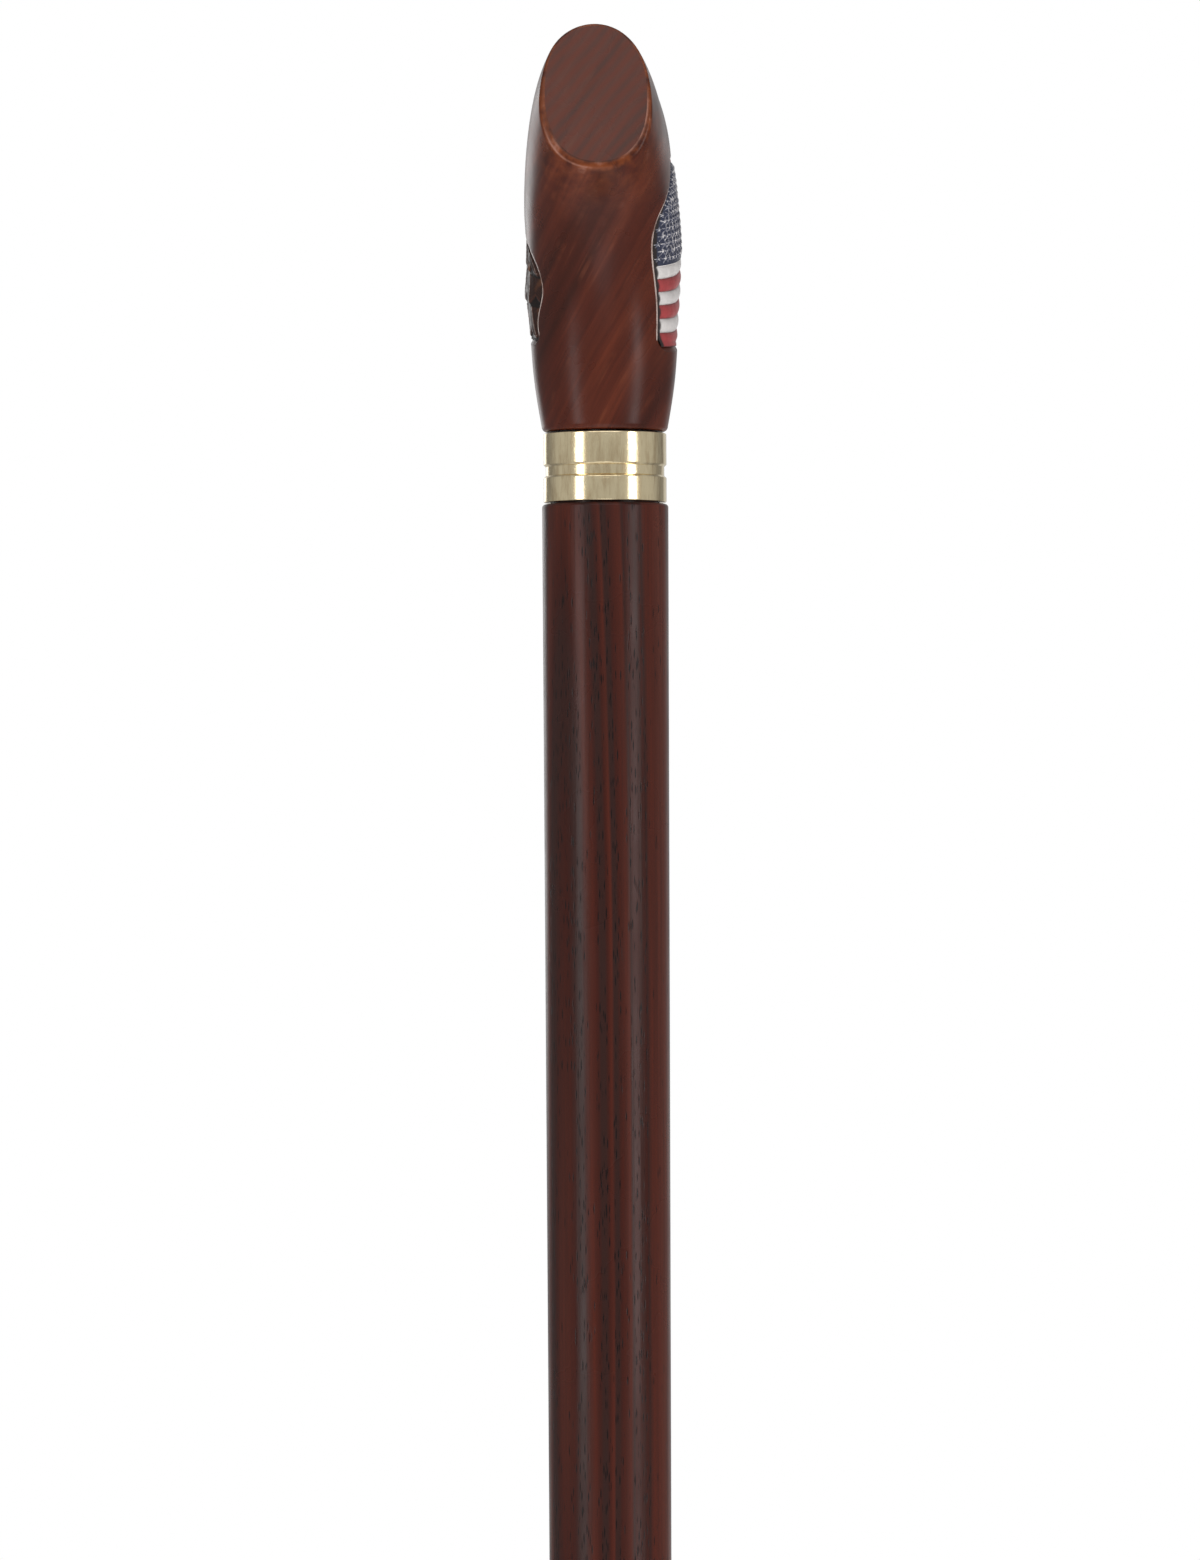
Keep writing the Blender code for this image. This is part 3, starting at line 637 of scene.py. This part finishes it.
def closeLoops(shape):
    # Caps every open loop with one face.
    bmesh.ops.holes_fill(shape, edges=[edge for edge in shape.edges if edge.is_boundary], sides=0)


def countedGrid(columns, rows):
    # A mesh grid, and the column and row of each of its points.
    shape = bmesh.new()
    bmesh.ops.create_grid(shape, x_segments=columns - 1, y_segments=rows - 1, size=1)
    spots = [((vert.co.x + 1) / 2 * (columns - 1), (vert.co.y + 1) / 2 * (rows - 1)) for vert in shape.verts]
    return shape, [(round(across), round(up)) for across, up in spots]


def handleBlank():
    # A grid rolled up into a tube through the rings, its seam and its ends closed.
    rings = handleRings()
    count, sides = rings.shape[:2]
    shape, counts = countedGrid(count, sides + 1)
    for vert, (ring, side) in zip(shape.verts, counts):
        vert.co = rings[ring, side % sides]
    bmesh.ops.remove_doubles(shape, verts=shape.verts, dist=2e-6)
    closeLoops(shape)
    bmesh.ops.recalc_face_normals(shape, faces=shape.faces)
    shape.normal_update()
    return shape


def extrudedLoop(shape, loop):
    # Grows a strip of faces from a loop of edges: its new loop, its new points and its faces.
    made = bmesh.ops.extrude_edge_only(shape, edges=loop)["geom"]
    kinds = (bmesh.types.BMEdge, bmesh.types.BMVert, bmesh.types.BMFace)
    edges, points, faces = [[item for item in made if isinstance(item, kind)] for kind in kinds]
    return [edge for edge in edges if edge.is_boundary], points, faces


def flattenNose(shape):
    # Saws the nose flat and rounds its rim over, hardly at the top and most at the bottom left.
    values = handleValues
    lean = values["noseLean"]
    ahead = Vector((0, -math.cos(lean), math.sin(lean)))
    upward = Vector((0, math.sin(lean), math.cos(lean)))
    onFace = Vector((0, -values["noseReach"], values["noseRimHeight"] + values["base"]))
    middle = onFace + upward * (values["height"] - values["noseRimHeight"]) * 0.5
    turns, bends = zip(*values["rimRounds"])
    most = max(bends)
    floats, vectors = shape.verts.layers.float, shape.verts.layers.float_vector
    rim, edge, flat, turned = [floats.new(name) for name in ("rim", "edge", "flat", "turned")]
    start, corner, inner = [vectors.new(name) for name in ("start", "corner", "inner")]
    # Just behind the flat the skin takes some of the band's colour, as rubbed wood and as painted light below
    # the nose.
    for vert in shape.verts:
        behind = (onFace - vert.co).dot(ahead) / values["rubAndLightReach"]
        vert[rim] = values["rubAndLightShare"] * math.exp(-behind * behind)
    whole = shape.verts[:] + shape.edges[:] + shape.faces[:]
    plane = onFace - ahead * most
    bmesh.ops.bisect_plane(shape, geom=whole, plane_co=plane, plane_no=ahead, clear_outer=True)
    points = list({vert for border in shape.edges if border.is_boundary for vert in border.verts})
    bmesh.ops.remove_doubles(shape, verts=points, dist=0.00015)
    shape.normal_update()
    loop = [border for border in shape.edges if border.is_boundary]
    for vert in {vert for border in loop for vert in border.verts}:
        around = math.degrees(math.atan2(vert.co.x, (vert.co - middle).dot(upward))) % 360
        bend = float(np.interp(around, turns, bends))
        forward = vert.normal.cross(ahead).cross(vert.normal).normalized()
        if forward.dot(ahead) < 0:
            forward = -forward
        reach = forward / forward.dot(ahead)
        inward = -(vert.normal - ahead * vert.normal.dot(ahead)).normalized()
        vert[start] = vert.co + reach * (most - bend)
        vert[corner] = vert.co + reach * most
        vert[inner] = vert[corner] + inward * bend * 1.2
        vert[turned] = around
    steps = values["rimSteps"]
    # The rounding takes the band's colour, partly painted light. Two steps by the flat take the edge tones, a
    # painted highlight line and a painted shadow line, and the middle step takes a painted highlight streak.
    toneNames = {steps: "edgeTones", steps + 1: "edgeTones", steps // 2: "rubAndHighlightTones"}
    for step in range(steps + 3):
        share = min(step / steps, 1.0)
        rest = 1 - share
        loop, points, _ = extrudedLoop(shape, loop)
        for vert in points:
            vert.co = vert[start] * rest * rest + vert[corner] * 2 * share * rest
            vert.co += vert[inner] * share * share
            if step > steps:
                inward = (vert[inner] - vert[corner]).normalized()
                vert.co += inward * values["edgeLine"] * (step - steps)
            vert[rim] = 0.0 if step > steps + 1 else min(1.0, values["rubAndLightShare"] + 1.8 * share)
            tones = toneNames.get(step)
            vert[edge] = float(np.interp(vert[turned], *zip(*values[tones]))) if tones else 0.0
            vert[flat] = 1.0 if step > steps else 0.0
    closeLoops(shape)
    floats.remove(turned)
    for name in ("start", "corner", "inner"):
        vectors.remove(vectors[name])


def edgeCurve(places, count):
    # Evenly counted (y, z) points of an edge that is given by places along the handle's sections.
    points = []
    for along, share in places:
        nearY, nearZ, farY, farZ = smoothAt(sections, [along])[0][:4]
        points.append((nearY + (farY - nearY) * share, nearZ + (farZ - nearZ) * share))
    return smoothAt(points, np.linspace(0, len(points) - 1, count))


def reliefPatch(edges, columns, rows):
    # A grid of (y, z) points filled in between four edges that meet at their ends.
    low, high = [edgeCurve(edges[name], columns + 1) for name in ("bottom", "top")]
    near, far = [edgeCurve(edges[name], rows + 1) for name in ("front", "back")]
    across = np.linspace(0, 1, columns + 1)[None, :, None]
    up = np.linspace(0, 1, rows + 1)[:, None, None]
    ruled = (1 - up) * low[None] + up * high[None] + (1 - across) * near[:, None] + across * far[:, None]
    corners = (1 - up) * ((1 - across) * low[0] + across * low[-1])
    corners = corners + up * ((1 - across) * high[0] + across * high[-1])
    return ruled - corners


def widened(outline, gap):
    # The outline moved outwards by the gap, its corners rounded.
    before = outline - np.roll(outline, 1, axis=0)
    following = np.roll(outline, -1, axis=0)
    after = following - outline
    normal = before / norm(before, axis=1)[:, None] + after / norm(after, axis=1)[:, None]
    normal = np.stack([normal[:, 1], -normal[:, 0]], axis=1)
    normal = normal / norm(normal, axis=1)[:, None]
    turn = (outline[:, 0] * following[:, 1] - outline[:, 1] * following[:, 0]).sum()
    return outline + math.copysign(1, turn) * normal * np.reshape(gap, (-1, 1))


reliefValues = {
    "depth": 0.0013,
    "gap": 0.0010,
    # At the bottom front corner the recess runs out in a shallow scoop.
    "footDepth": 0.0005,
    "footLength": 0.25,
    "footHeight": 0.04,
    "footRounding": 4,
    "brimDepth": 0.00003,
    "backGap": 0.0003,
    "edgeDrop": 0.0006,
    "edgeShare": 0.045,
    "lipDepth": 0.00006,
    "lipWidth": 0.00032,
    "flagSize": (230, 156),
    "wingSize": (300, 140),
    "recessSize": (80, 52),
}

# The reliefs' edges, as (place along the handle's sections, share from the inner to the outer side)
flagEdges = {
    "bottom": [(1.46, 0.8), (1.58, 0.46), (2.0, 0.24), (2.95, 0.15), (5.3, 0.1), (9.6, 0.12), (11.5, 0.18)],
    "top": [(6.2, 0.55), (7.4, 0.43), (9.3, 0.38), (11.0, 0.6), (11.8, 0.74)],
    "front": [(1.46, 0.8), (2.26, 0.81), (3.06, 0.845), (4.2, 0.792), (6.2, 0.55)],
    "back": [(11.5, 0.18), (11.7, 0.37), (11.75, 0.56), (11.8, 0.74)],
}
wingEdges = {
    "bottom": [(1.6, 0.71), (1.84, 0.35), (2.52, 0.2), (3.8, 0.14), (7.6, 0.1), (10.5, 0.14), (12.55, 0.29)],
    "top": [(3.4, 0.64), (4.8, 0.4), (7.5, 0.28), (10.1, 0.45), (11.4, 0.69), (12.1, 0.8), (12.7, 0.8)],
    "front": [(1.6, 0.71), (1.95, 0.695), (2.3, 0.745), (2.6, 0.77), (3.0, 0.73), (3.4, 0.64)],
    "back": [(12.55, 0.29), (12.9, 0.46), (12.95, 0.65), (12.7, 0.8)],
}


def skinReach(side, y, z):
    # How far the uncut handle's skin is from its middle plane at a point of one side.
    start = Vector((side * handleValues["headWidth"], y, z))
    return abs(skin.ray_cast(start, Vector((-side, 0, 0)))[0].x)


def footShare(across, up):
    # 1 at the bottom front corner of a relief, where its recess runs out to the skin, and 0 elsewhere.
    return np.exp(-((across / reliefValues["footLength"]) ** 4) - (up / reliefValues["footHeight"]) ** 2)


def atFoot(name, foot):
    # The recess's depth, or at its foot the named value instead.
    return reliefValues["depth"] - (reliefValues["depth"] - reliefValues[name]) * foot


def surfaceGrid(grid):
    # A mesh grid laid out like the (y, z) grid, with its own place and the order of its rim.
    rows, columns = grid.shape[:2]
    shape, counts = countedGrid(columns, rows)
    layers = shape.verts.layers
    place, order = layers.float_vector.new("place"), layers.int.new("order")
    numbers = np.full((rows, columns), -1)
    sides = np.split(np.arange(2 * (rows + columns - 2)), np.cumsum([columns - 1, rows - 1, columns - 1]))
    numbers[0, :-1], numbers[:-1, -1], numbers[-1, :0:-1], numbers[:0:-1, 0] = sides
    for vert, (column, row) in zip(shape.verts, counts):
        y, z = grid[row, column]
        vert.co = (0, y, z + handleValues["base"])
        vert[place] = Vector((column / (columns - 1), row / (rows - 1), 0))
        vert[order] = int(numbers[row, column])
    return shape, place, order


def recessCutter(side, grid):
    # A plug whose foot follows the skin, wider than the relief, with a mouth that chamfers the lip.
    values = reliefValues
    shape, place, order = surfaceGrid(grid)
    outline = np.concatenate([grid[0, :-1], grid[:-1, -1], grid[-1, :0:-1], grid[:0:-1, 0]])
    foot = np.zeros(len(outline))
    for vert in shape.verts:
        across, up, _ = vert[place]
        if vert[order] >= 0:
            foot[vert[order]] = footShare(across, up)
        vert.co.x = side * (skinReach(side, *vert.co.yz) - atFoot("footDepth", footShare(across, up)))
    for face in shape.faces:
        face.material_index = 2
    gap = values["gap"]
    low, brim = atFoot("footDepth", foot), atFoot("brimDepth", foot)
    lip = values["lipWidth"] * (1 - 0.8 * foot)
    chamfer = values["lipDepth"] * (1 - 0.9 * foot)
    # Each ring is grown from the relief's edge, lies below the skin and has the material of the faces
    # that lead to it.
    rings = [(0.5 * gap, 0.5 * (low + brim), 2), (gap, brim, 2), (gap, chamfer, 2)]
    rings += [(gap + lip, 0 * lip, 1), (gap + 1.5 * lip, -0.5 * chamfer, 1), (gap + 1.5 * lip, None, 1)]
    loop = [edge for edge in shape.edges if edge.is_boundary]
    for grown, below, look in rings:
        points = widened(outline, grown)
        # The corner of the scoop is rounded.
        for _ in range(values["footRounding"]):
            between = 0.5 * (np.roll(points, 1, axis=0) + np.roll(points, -1, axis=0))
            points = points + 0.5 * foot[:, None] ** 4 * (between - points)
        loop, verts, faces = extrudedLoop(shape, loop)
        for vert in verts:
            y, z = points[vert[order]] + (0, handleValues["base"])
            reach = handleValues["headWidth"] if below is None else skinReach(side, y, z) - below[vert[order]]
            vert.co = (side * reach, y, z)
        for face in faces:
            scooped = max(foot[vert[order]] for vert in face.verts) > 0.5
            face.material_index = 0 if scooped else look
    closeLoops(shape)
    return shape


def joinedShape(shapes):
    whole = bmesh.new()
    for shape in shapes:
        mesh = bpy.data.meshes.new("part")
        shape.to_mesh(mesh)
        shape.free()
        whole.from_mesh(mesh)
        bpy.data.meshes.remove(mesh)
    return whole


def applyCut(piece, cutter):
    boolean = piece.modifiers.new("cut", "BOOLEAN")
    boolean.object = cutter
    boolean.operation, boolean.solver, boolean.material_mode = "DIFFERENCE", "EXACT", "INDEX"
    bpy.context.view_layer.update()
    graph = bpy.context.evaluated_depsgraph_get()
    cutMesh = bpy.data.meshes.new_from_object(piece.evaluated_get(graph))
    piece.modifiers.clear()
    old = piece.data
    piece.data = cutMesh
    bpy.data.meshes.remove(old)
    bpy.data.objects.remove(cutter, do_unlink=True)


values = handleValues
blank = handleBlank()
skin = BVHTree.FromBMesh(blank)
flattenNose(blank)
woods = [handleWood, buffedLipHighlight, waxAndShadeGroove]
handle = newObject("handleBody", blank, woods)
recessSize = reliefValues["recessSize"]
cutters = [
    recessCutter(side, reliefPatch(edges, *recessSize)) for side, edges in ((1, flagEdges), (-1, wingEdges))
]
bore, low, high = values["studHole"], values["studHoleFoot"], values["studHoleTop"]
cutters.append(turnedShape([(0, low), (bore, low), (bore, high), (0, high)], values["boreSteps"]))
applyCut(handle, newObject("cutter", joinedShape(cutters), woods))
handle.modifiers.new("weights", "WEIGHTED_NORMAL").keep_sharp = True
finishPiece(handle, "cane", "handle", sharpFrom=50)
print("handle is cut:", len(handle.data.polygons), "faces")


# ---- reliefs

flagValues = {
    "stripePuff": 0.00045,
    "stripeRoundness": 0.7,
    "border": 0.0115,  # left dark with wax and painted shade, as a share of the flag's length or height
    "wave": 0.00035,
    "waveCount": 1.6,
    "waveSlant": 0.3,
    "starRows": 13,
    "starColumns": 34,
    "starRadius": 0.0009,
    "starWaist": 0.52,  # inner corners, as a share of the radius
    "starRise": 0.00024,
}


def flagHeight(across, up):
    # Height over the skin, and how much wax and painted shade lie there.
    values = flagValues
    canton = flagPaintValues["cantonLength"]
    turns = values["waveCount"] * (across - canton / 2) + values["waveSlant"] * (up - 0.5)
    stripe = abs(math.sin(math.pi * flagPaintValues["stripes"] * up)) ** values["stripeRoundness"]
    inCanton = across < canton and up > cantonFoot
    puff = values["stripePuff"] * (1 if inCanton else stripe)
    # Wax and painted shade darken the creases between stripes and the border.
    waxAndShade = 0.0 if inCanton else 0.45 * (1 - stripe) ** 3
    nearest = min(across, 3 - 3 * across, 2.5 * up, 2 - 2 * up)
    waxAndShade = max(waxAndShade, min(max((values["border"] - nearest) / 0.003, 0), 1))
    return values["wave"] * math.cos(2 * math.pi * turns) + puff - values["stripePuff"], waxAndShade


wingValues = {
    "rows": 3,
    "columns": 18,
    "sweep": 0.35,  # how far a row's feathers trail back
    "tipRound": 0.3,
    "tipSlope": 0.14,
    "relief": 0.00045,
    "shoulder": 0.0006,
}


def wingHeight(across, up):
    # Overlapping feathers with a raised quill and fine barbs. The tone is pale on quills and tips, partly as
    # painted highlights, and low between feathers as painted shade.
    values = wingValues
    row = (1 - up) * values["rows"]
    number = min(math.floor(row), values["rows"] - 1)
    along = row - number
    count = values["columns"] * across + 0.5 * (number % 2) + values["sweep"] * along
    side = 2 * (count - math.floor(count)) - 1
    tip = 1 - values["tipRound"] * side * side
    covered = min(max((tip - along) / values["tipSlope"], 0), 1)
    covered = covered * covered * (3 - 2 * covered)
    lift = 0.18 + covered * (0.07 + 0.5 * along / tip)
    crown = 0.22 * math.sqrt(max(0.0, 1 - side * side))
    quill = math.exp(-((side / 0.16) ** 2)) * covered
    barbs = 0.5 + 0.5 * math.sin(2 * math.pi * (9 * along + 2.2 * abs(side)))
    shoulder = values["shoulder"] * math.exp(-(((across - 0.10) / 0.12) ** 2) - ((up - 0.42) / 0.22) ** 2)
    tipLine = math.exp(-(((tip - along - values["tipSlope"]) / 0.05) ** 2))
    tone = max(quill, 0.9 * tipLine, covered * (0.35 + 0.2 * barbs))
    rise = lift + crown + 0.25 * quill + 0.03 * barbs
    return values["relief"] * (rise - 1) + shoulder, tone


def reliefShape(side, edges, size, height, backTone):
    # A grid raised over the recess by its relief, with its edges turned down and its back closed.
    values = reliefValues
    shape, place, _ = surfaceGrid(reliefPatch(edges, *size))
    back = shape.verts.layers.float.new("back")
    for vert in shape.verts:
        across, up, _ = vert[place]
        foot = float(footShare(across, up))
        reach = skinReach(side, *vert.co.yz)
        nearest = min(across, 1 - across, up, 1 - up)
        fall = values["edgeDrop"] * (1 - min(nearest / values["edgeShare"], 1)) ** 2 * (1 - 0.6 * foot)
        rise, tone = height(across, up)
        under = atFoot("footDepth", foot) - values["backGap"]
        vert.co.x = side * (reach + max(rise - fall, 0.0001 - under))
        vert[place] = Vector((across, up, tone))
        vert[back] = reach - under
    # The back and the turned-down sides take the back tone: the full wax colour on the flag and the darkest
    # wash on the wing, painted shade on the walls.
    made = bmesh.ops.extrude_face_region(shape, geom=shape.faces[:], use_keep_orig=True)["geom"]
    for item in made:
        if isinstance(item, bmesh.types.BMVert):
            item.co.x = side * item[back]
            item[place].z = backTone
    return shape


def addStar(shape, surface, side, centre, radius, ahead):
    # A facetted star, laid on the surface at a (y, z) point, with one of its points ahead.
    place = shape.verts.layers.float_vector["place"]
    rise = flagValues["starRise"]
    beside = np.array((ahead[1], -ahead[0]))
    star = bmesh.ops.create_circle(shape, cap_ends=True, cap_tris=True, radius=1, segments=10)["verts"]
    for vert in star:
        angle = math.atan2(vert.co.x, vert.co.y)
        isPoint = round(angle / math.radians(36)) % 2 == 0
        isCentre = vert.co.length < 0.5
        reach = 0.00001 if isCentre else radius * (1 if isPoint else flagValues["starWaist"])
        y, z = centre + reach * (math.cos(angle) * ahead + math.sin(angle) * beside)
        z += handleValues["base"]
        hit = surface.ray_cast(Vector((side * 0.05, y, z)), Vector((-side, 0, 0)))[0]
        vert.co = (hit.x + side * rise * (1 if isCentre else 0.22), y, z)
        vert[place] = Vector((0, 0, 0.6 if isCentre else 0.45 if isPoint else 0))
    faces = list({face for vert in star for face in vert.link_faces})
    rim = [edge for edge in {edge for face in faces for edge in face.edges} if edge.is_boundary]
    base, points, walls = extrudedLoop(shape, rim)
    for vert in points:
        vert.co.x -= side * rise
    for face in faces + walls + bmesh.ops.holes_fill(shape, edges=base, sides=0)["faces"]:
        face.material_index = 1


def addStars(shape, side):
    # Staggered rows of stars on the navy corner, smaller where there is less room.
    surface = BVHTree.FromBMesh(shape)
    grid = reliefPatch(flagEdges, *reliefValues["flagSize"])
    rows, columns = grid.shape[:2]
    starRows, starColumns = flagValues["starRows"], flagValues["starColumns"]
    length = flagPaintValues["cantonLength"]
    for row in range(starRows):
        for column in range(row % 2, starColumns, 2):
            across = length * (column + 1) / (starColumns + 1)
            up = cantonFoot + (1 - cantonFoot) * (row + 1) / (starRows + 1)
            here = (round(up * (rows - 1)), round(across * (columns - 1)))
            above = grid[here[0] + 3, here[1]] - grid[here]
            ahead = grid[here[0], here[1] + 3] - grid[here]
            rowPitch = norm(above) * (rows - 1) / 3 * (1 - cantonFoot) / (starRows + 1)
            pitch = norm(ahead) * (columns - 1) / 3 * length / (starColumns + 1)
            above, ahead = above / norm(above), ahead / norm(ahead)
            square = abs(above[0] * ahead[1] - above[1] * ahead[0])
            room = 0.9 * square * min((starRows - row) * rowPitch, (column + 1) * pitch)
            addStar(shape, surface, side, grid[here], min(flagValues["starRadius"], room), above)


shape = reliefShape(1, flagEdges, reliefValues["flagSize"], flagHeight, 1.0)
addStars(shape, 1)
flag = newObject("flagRelief", shape, [flagPaint, starPaint])
finishPiece(flag, "cane", "flag_inlay", sharpFrom=30)
shape = reliefShape(-1, wingEdges, reliefValues["wingSize"], wingHeight, 0.0)
wing = newObject("wingRelief", shape, [wingPaint])
finishPiece(wing, "cane", "wing_inlay", sharpFrom=40)
print("reliefs are laid in")


# ---- collar, shaft, tip, stud

collarValues = {
    "radius": 0.0109,
    "bore": 0.0097,
    "top": 0.8448,
    "bottom": 0.8326,
    "edge": 0.00022,
    "grooveFoot": 0.0047,
    "grooveWidth": 0.0016,
    "grooveDepth": 0.0004,
    "steps": 160,
}
values = collarValues
edge, deep, top, bottom = [values[name] for name in ("edge", "grooveDepth", "top", "bottom")]
outer = values["radius"]
inset = outer - edge
low = bottom + values["grooveFoot"]
high = low + values["grooveWidth"]
profile = arc(inset, bottom + edge, edge, -90, 0, 5)
profile += arc(inset, low - deep - edge * 0.4, edge, 0, 45, 3)
profile += [(outer - deep, low), (outer - deep, high)]
profile += arc(inset, high + deep + edge * 0.4, edge, -45, 0, 3)
profile += arc(inset, top - edge, edge, 0, 90, 5)
profile += [(values["bore"], top), (values["bore"], bottom)]
shape = turnedShape(profile, values["steps"], True)
finishPiece(newObject("collarRing", shape, [brass]), "cane", "collar", sharpFrom=30)

shaftValues = {
    "topRadius": 0.0112,
    "footRadius": 0.0095,
    "shoulder": shaftWoodValues["shoulder"],
    "foot": 0.0098,
    "edge": 0.0006,
    "chamfer": 0.0010,
    "tenon": 0.0094,
    "tenonTop": 0.8448,
    "hole": 0.0043,
    "holeFoot": 0.8020,
    "steps": 160,
}
values = shaftValues
edge, top, foot, radius = [values[name] for name in ("edge", "shoulder", "foot", "footRadius")]
tenon, tenonTop, hole, holeFoot = [values[name] for name in ("tenon", "tenonTop", "hole", "holeFoot")]
profile = [(0, foot), (radius - values["chamfer"], foot), (radius, foot + values["chamfer"])]
profile += arc(values["topRadius"] - edge, top - edge, edge, 0, 90, 6)
profile += [(tenon, top), (tenon, tenonTop), (hole, tenonTop), (hole, holeFoot), (0, holeFoot)]
shape = turnedShape(profile, values["steps"])
finishPiece(newObject("taperedShaft", shape, [shaftWood]), "cane", "shaft", sharpFrom=35)

tipValues = {
    "height": 0.0420,
    "base": 0.0180,
    "neck": 0.0133,
    "floor": 0.0080,
    "gap": 0.0003,
    "baseHeight": 0.0100,
    "baseSide": 0.0050,
    "flare": 0.25,
    "edge": 0.0012,
    "ringHeight": 0.0024,
    "ringDepth": 0.0012,
    "rings": 3,
    "treads": 3,
    "treadDepth": 0.0012,
    "steps": 128,
}


def boreRadius(height):
    # The tip's bore follows the shaft's taper.
    values = shaftValues
    share = (height - values["foot"]) / (values["shoulder"] - values["foot"])
    return values["footRadius"] + (values["topRadius"] - values["footRadius"]) * share + tipValues["gap"]


values = tipValues
base, neck, edge, height = [values[name] for name in ("base", "neck", "edge", "height")]
profile = [(0, 0)]
land = (base - 2 * edge) / (2 * values["treads"] + 1)
for groove in range(values["treads"]):
    near, deep = land * (2 * groove + 1), values["treadDepth"]
    profile += [(near, 0), (near, deep), (near + land, deep), (near + land, 0)]
profile += arc(base - edge, edge, edge, -90, 0, 6)
profile += arc(base - edge, values["baseSide"], edge, 0, 60, 6)
shoulder = values["baseHeight"] + edge
profile += [(neck + values["flare"] * (base - neck), values["baseHeight"]), (neck, shoulder + edge)]
pitch = (height - shoulder - 2 * edge) / values["rings"]
deep, tall = values["ringDepth"], values["ringHeight"]
for ring in range(values["rings"]):
    low = shoulder + 2 * edge + pitch * (ring + 1) - tall - edge
    profile += [(neck, low - deep), (neck + deep, low), (neck + deep, low + tall)]
    if ring < values["rings"] - 1:
        profile.append((neck, low + tall + deep))
foot, inner = shaftValues["foot"], values["floor"]
profile += [(neck, height), (boreRadius(height), height), (boreRadius(foot), foot)]
profile += [(boreRadius(foot), inner), (0, inner)]
shape = turnedShape(profile, values["steps"])
finishPiece(newObject("rubberFerrule", shape, [rubber]), "tip", "rubber_tip", sharpFrom=35)
for name in ("joining_stud", "tip_washer"):
    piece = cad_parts[name]
    piece.data.materials.clear()
    piece.data.materials.append(steel)
print("collar, shaft and tip are turned")
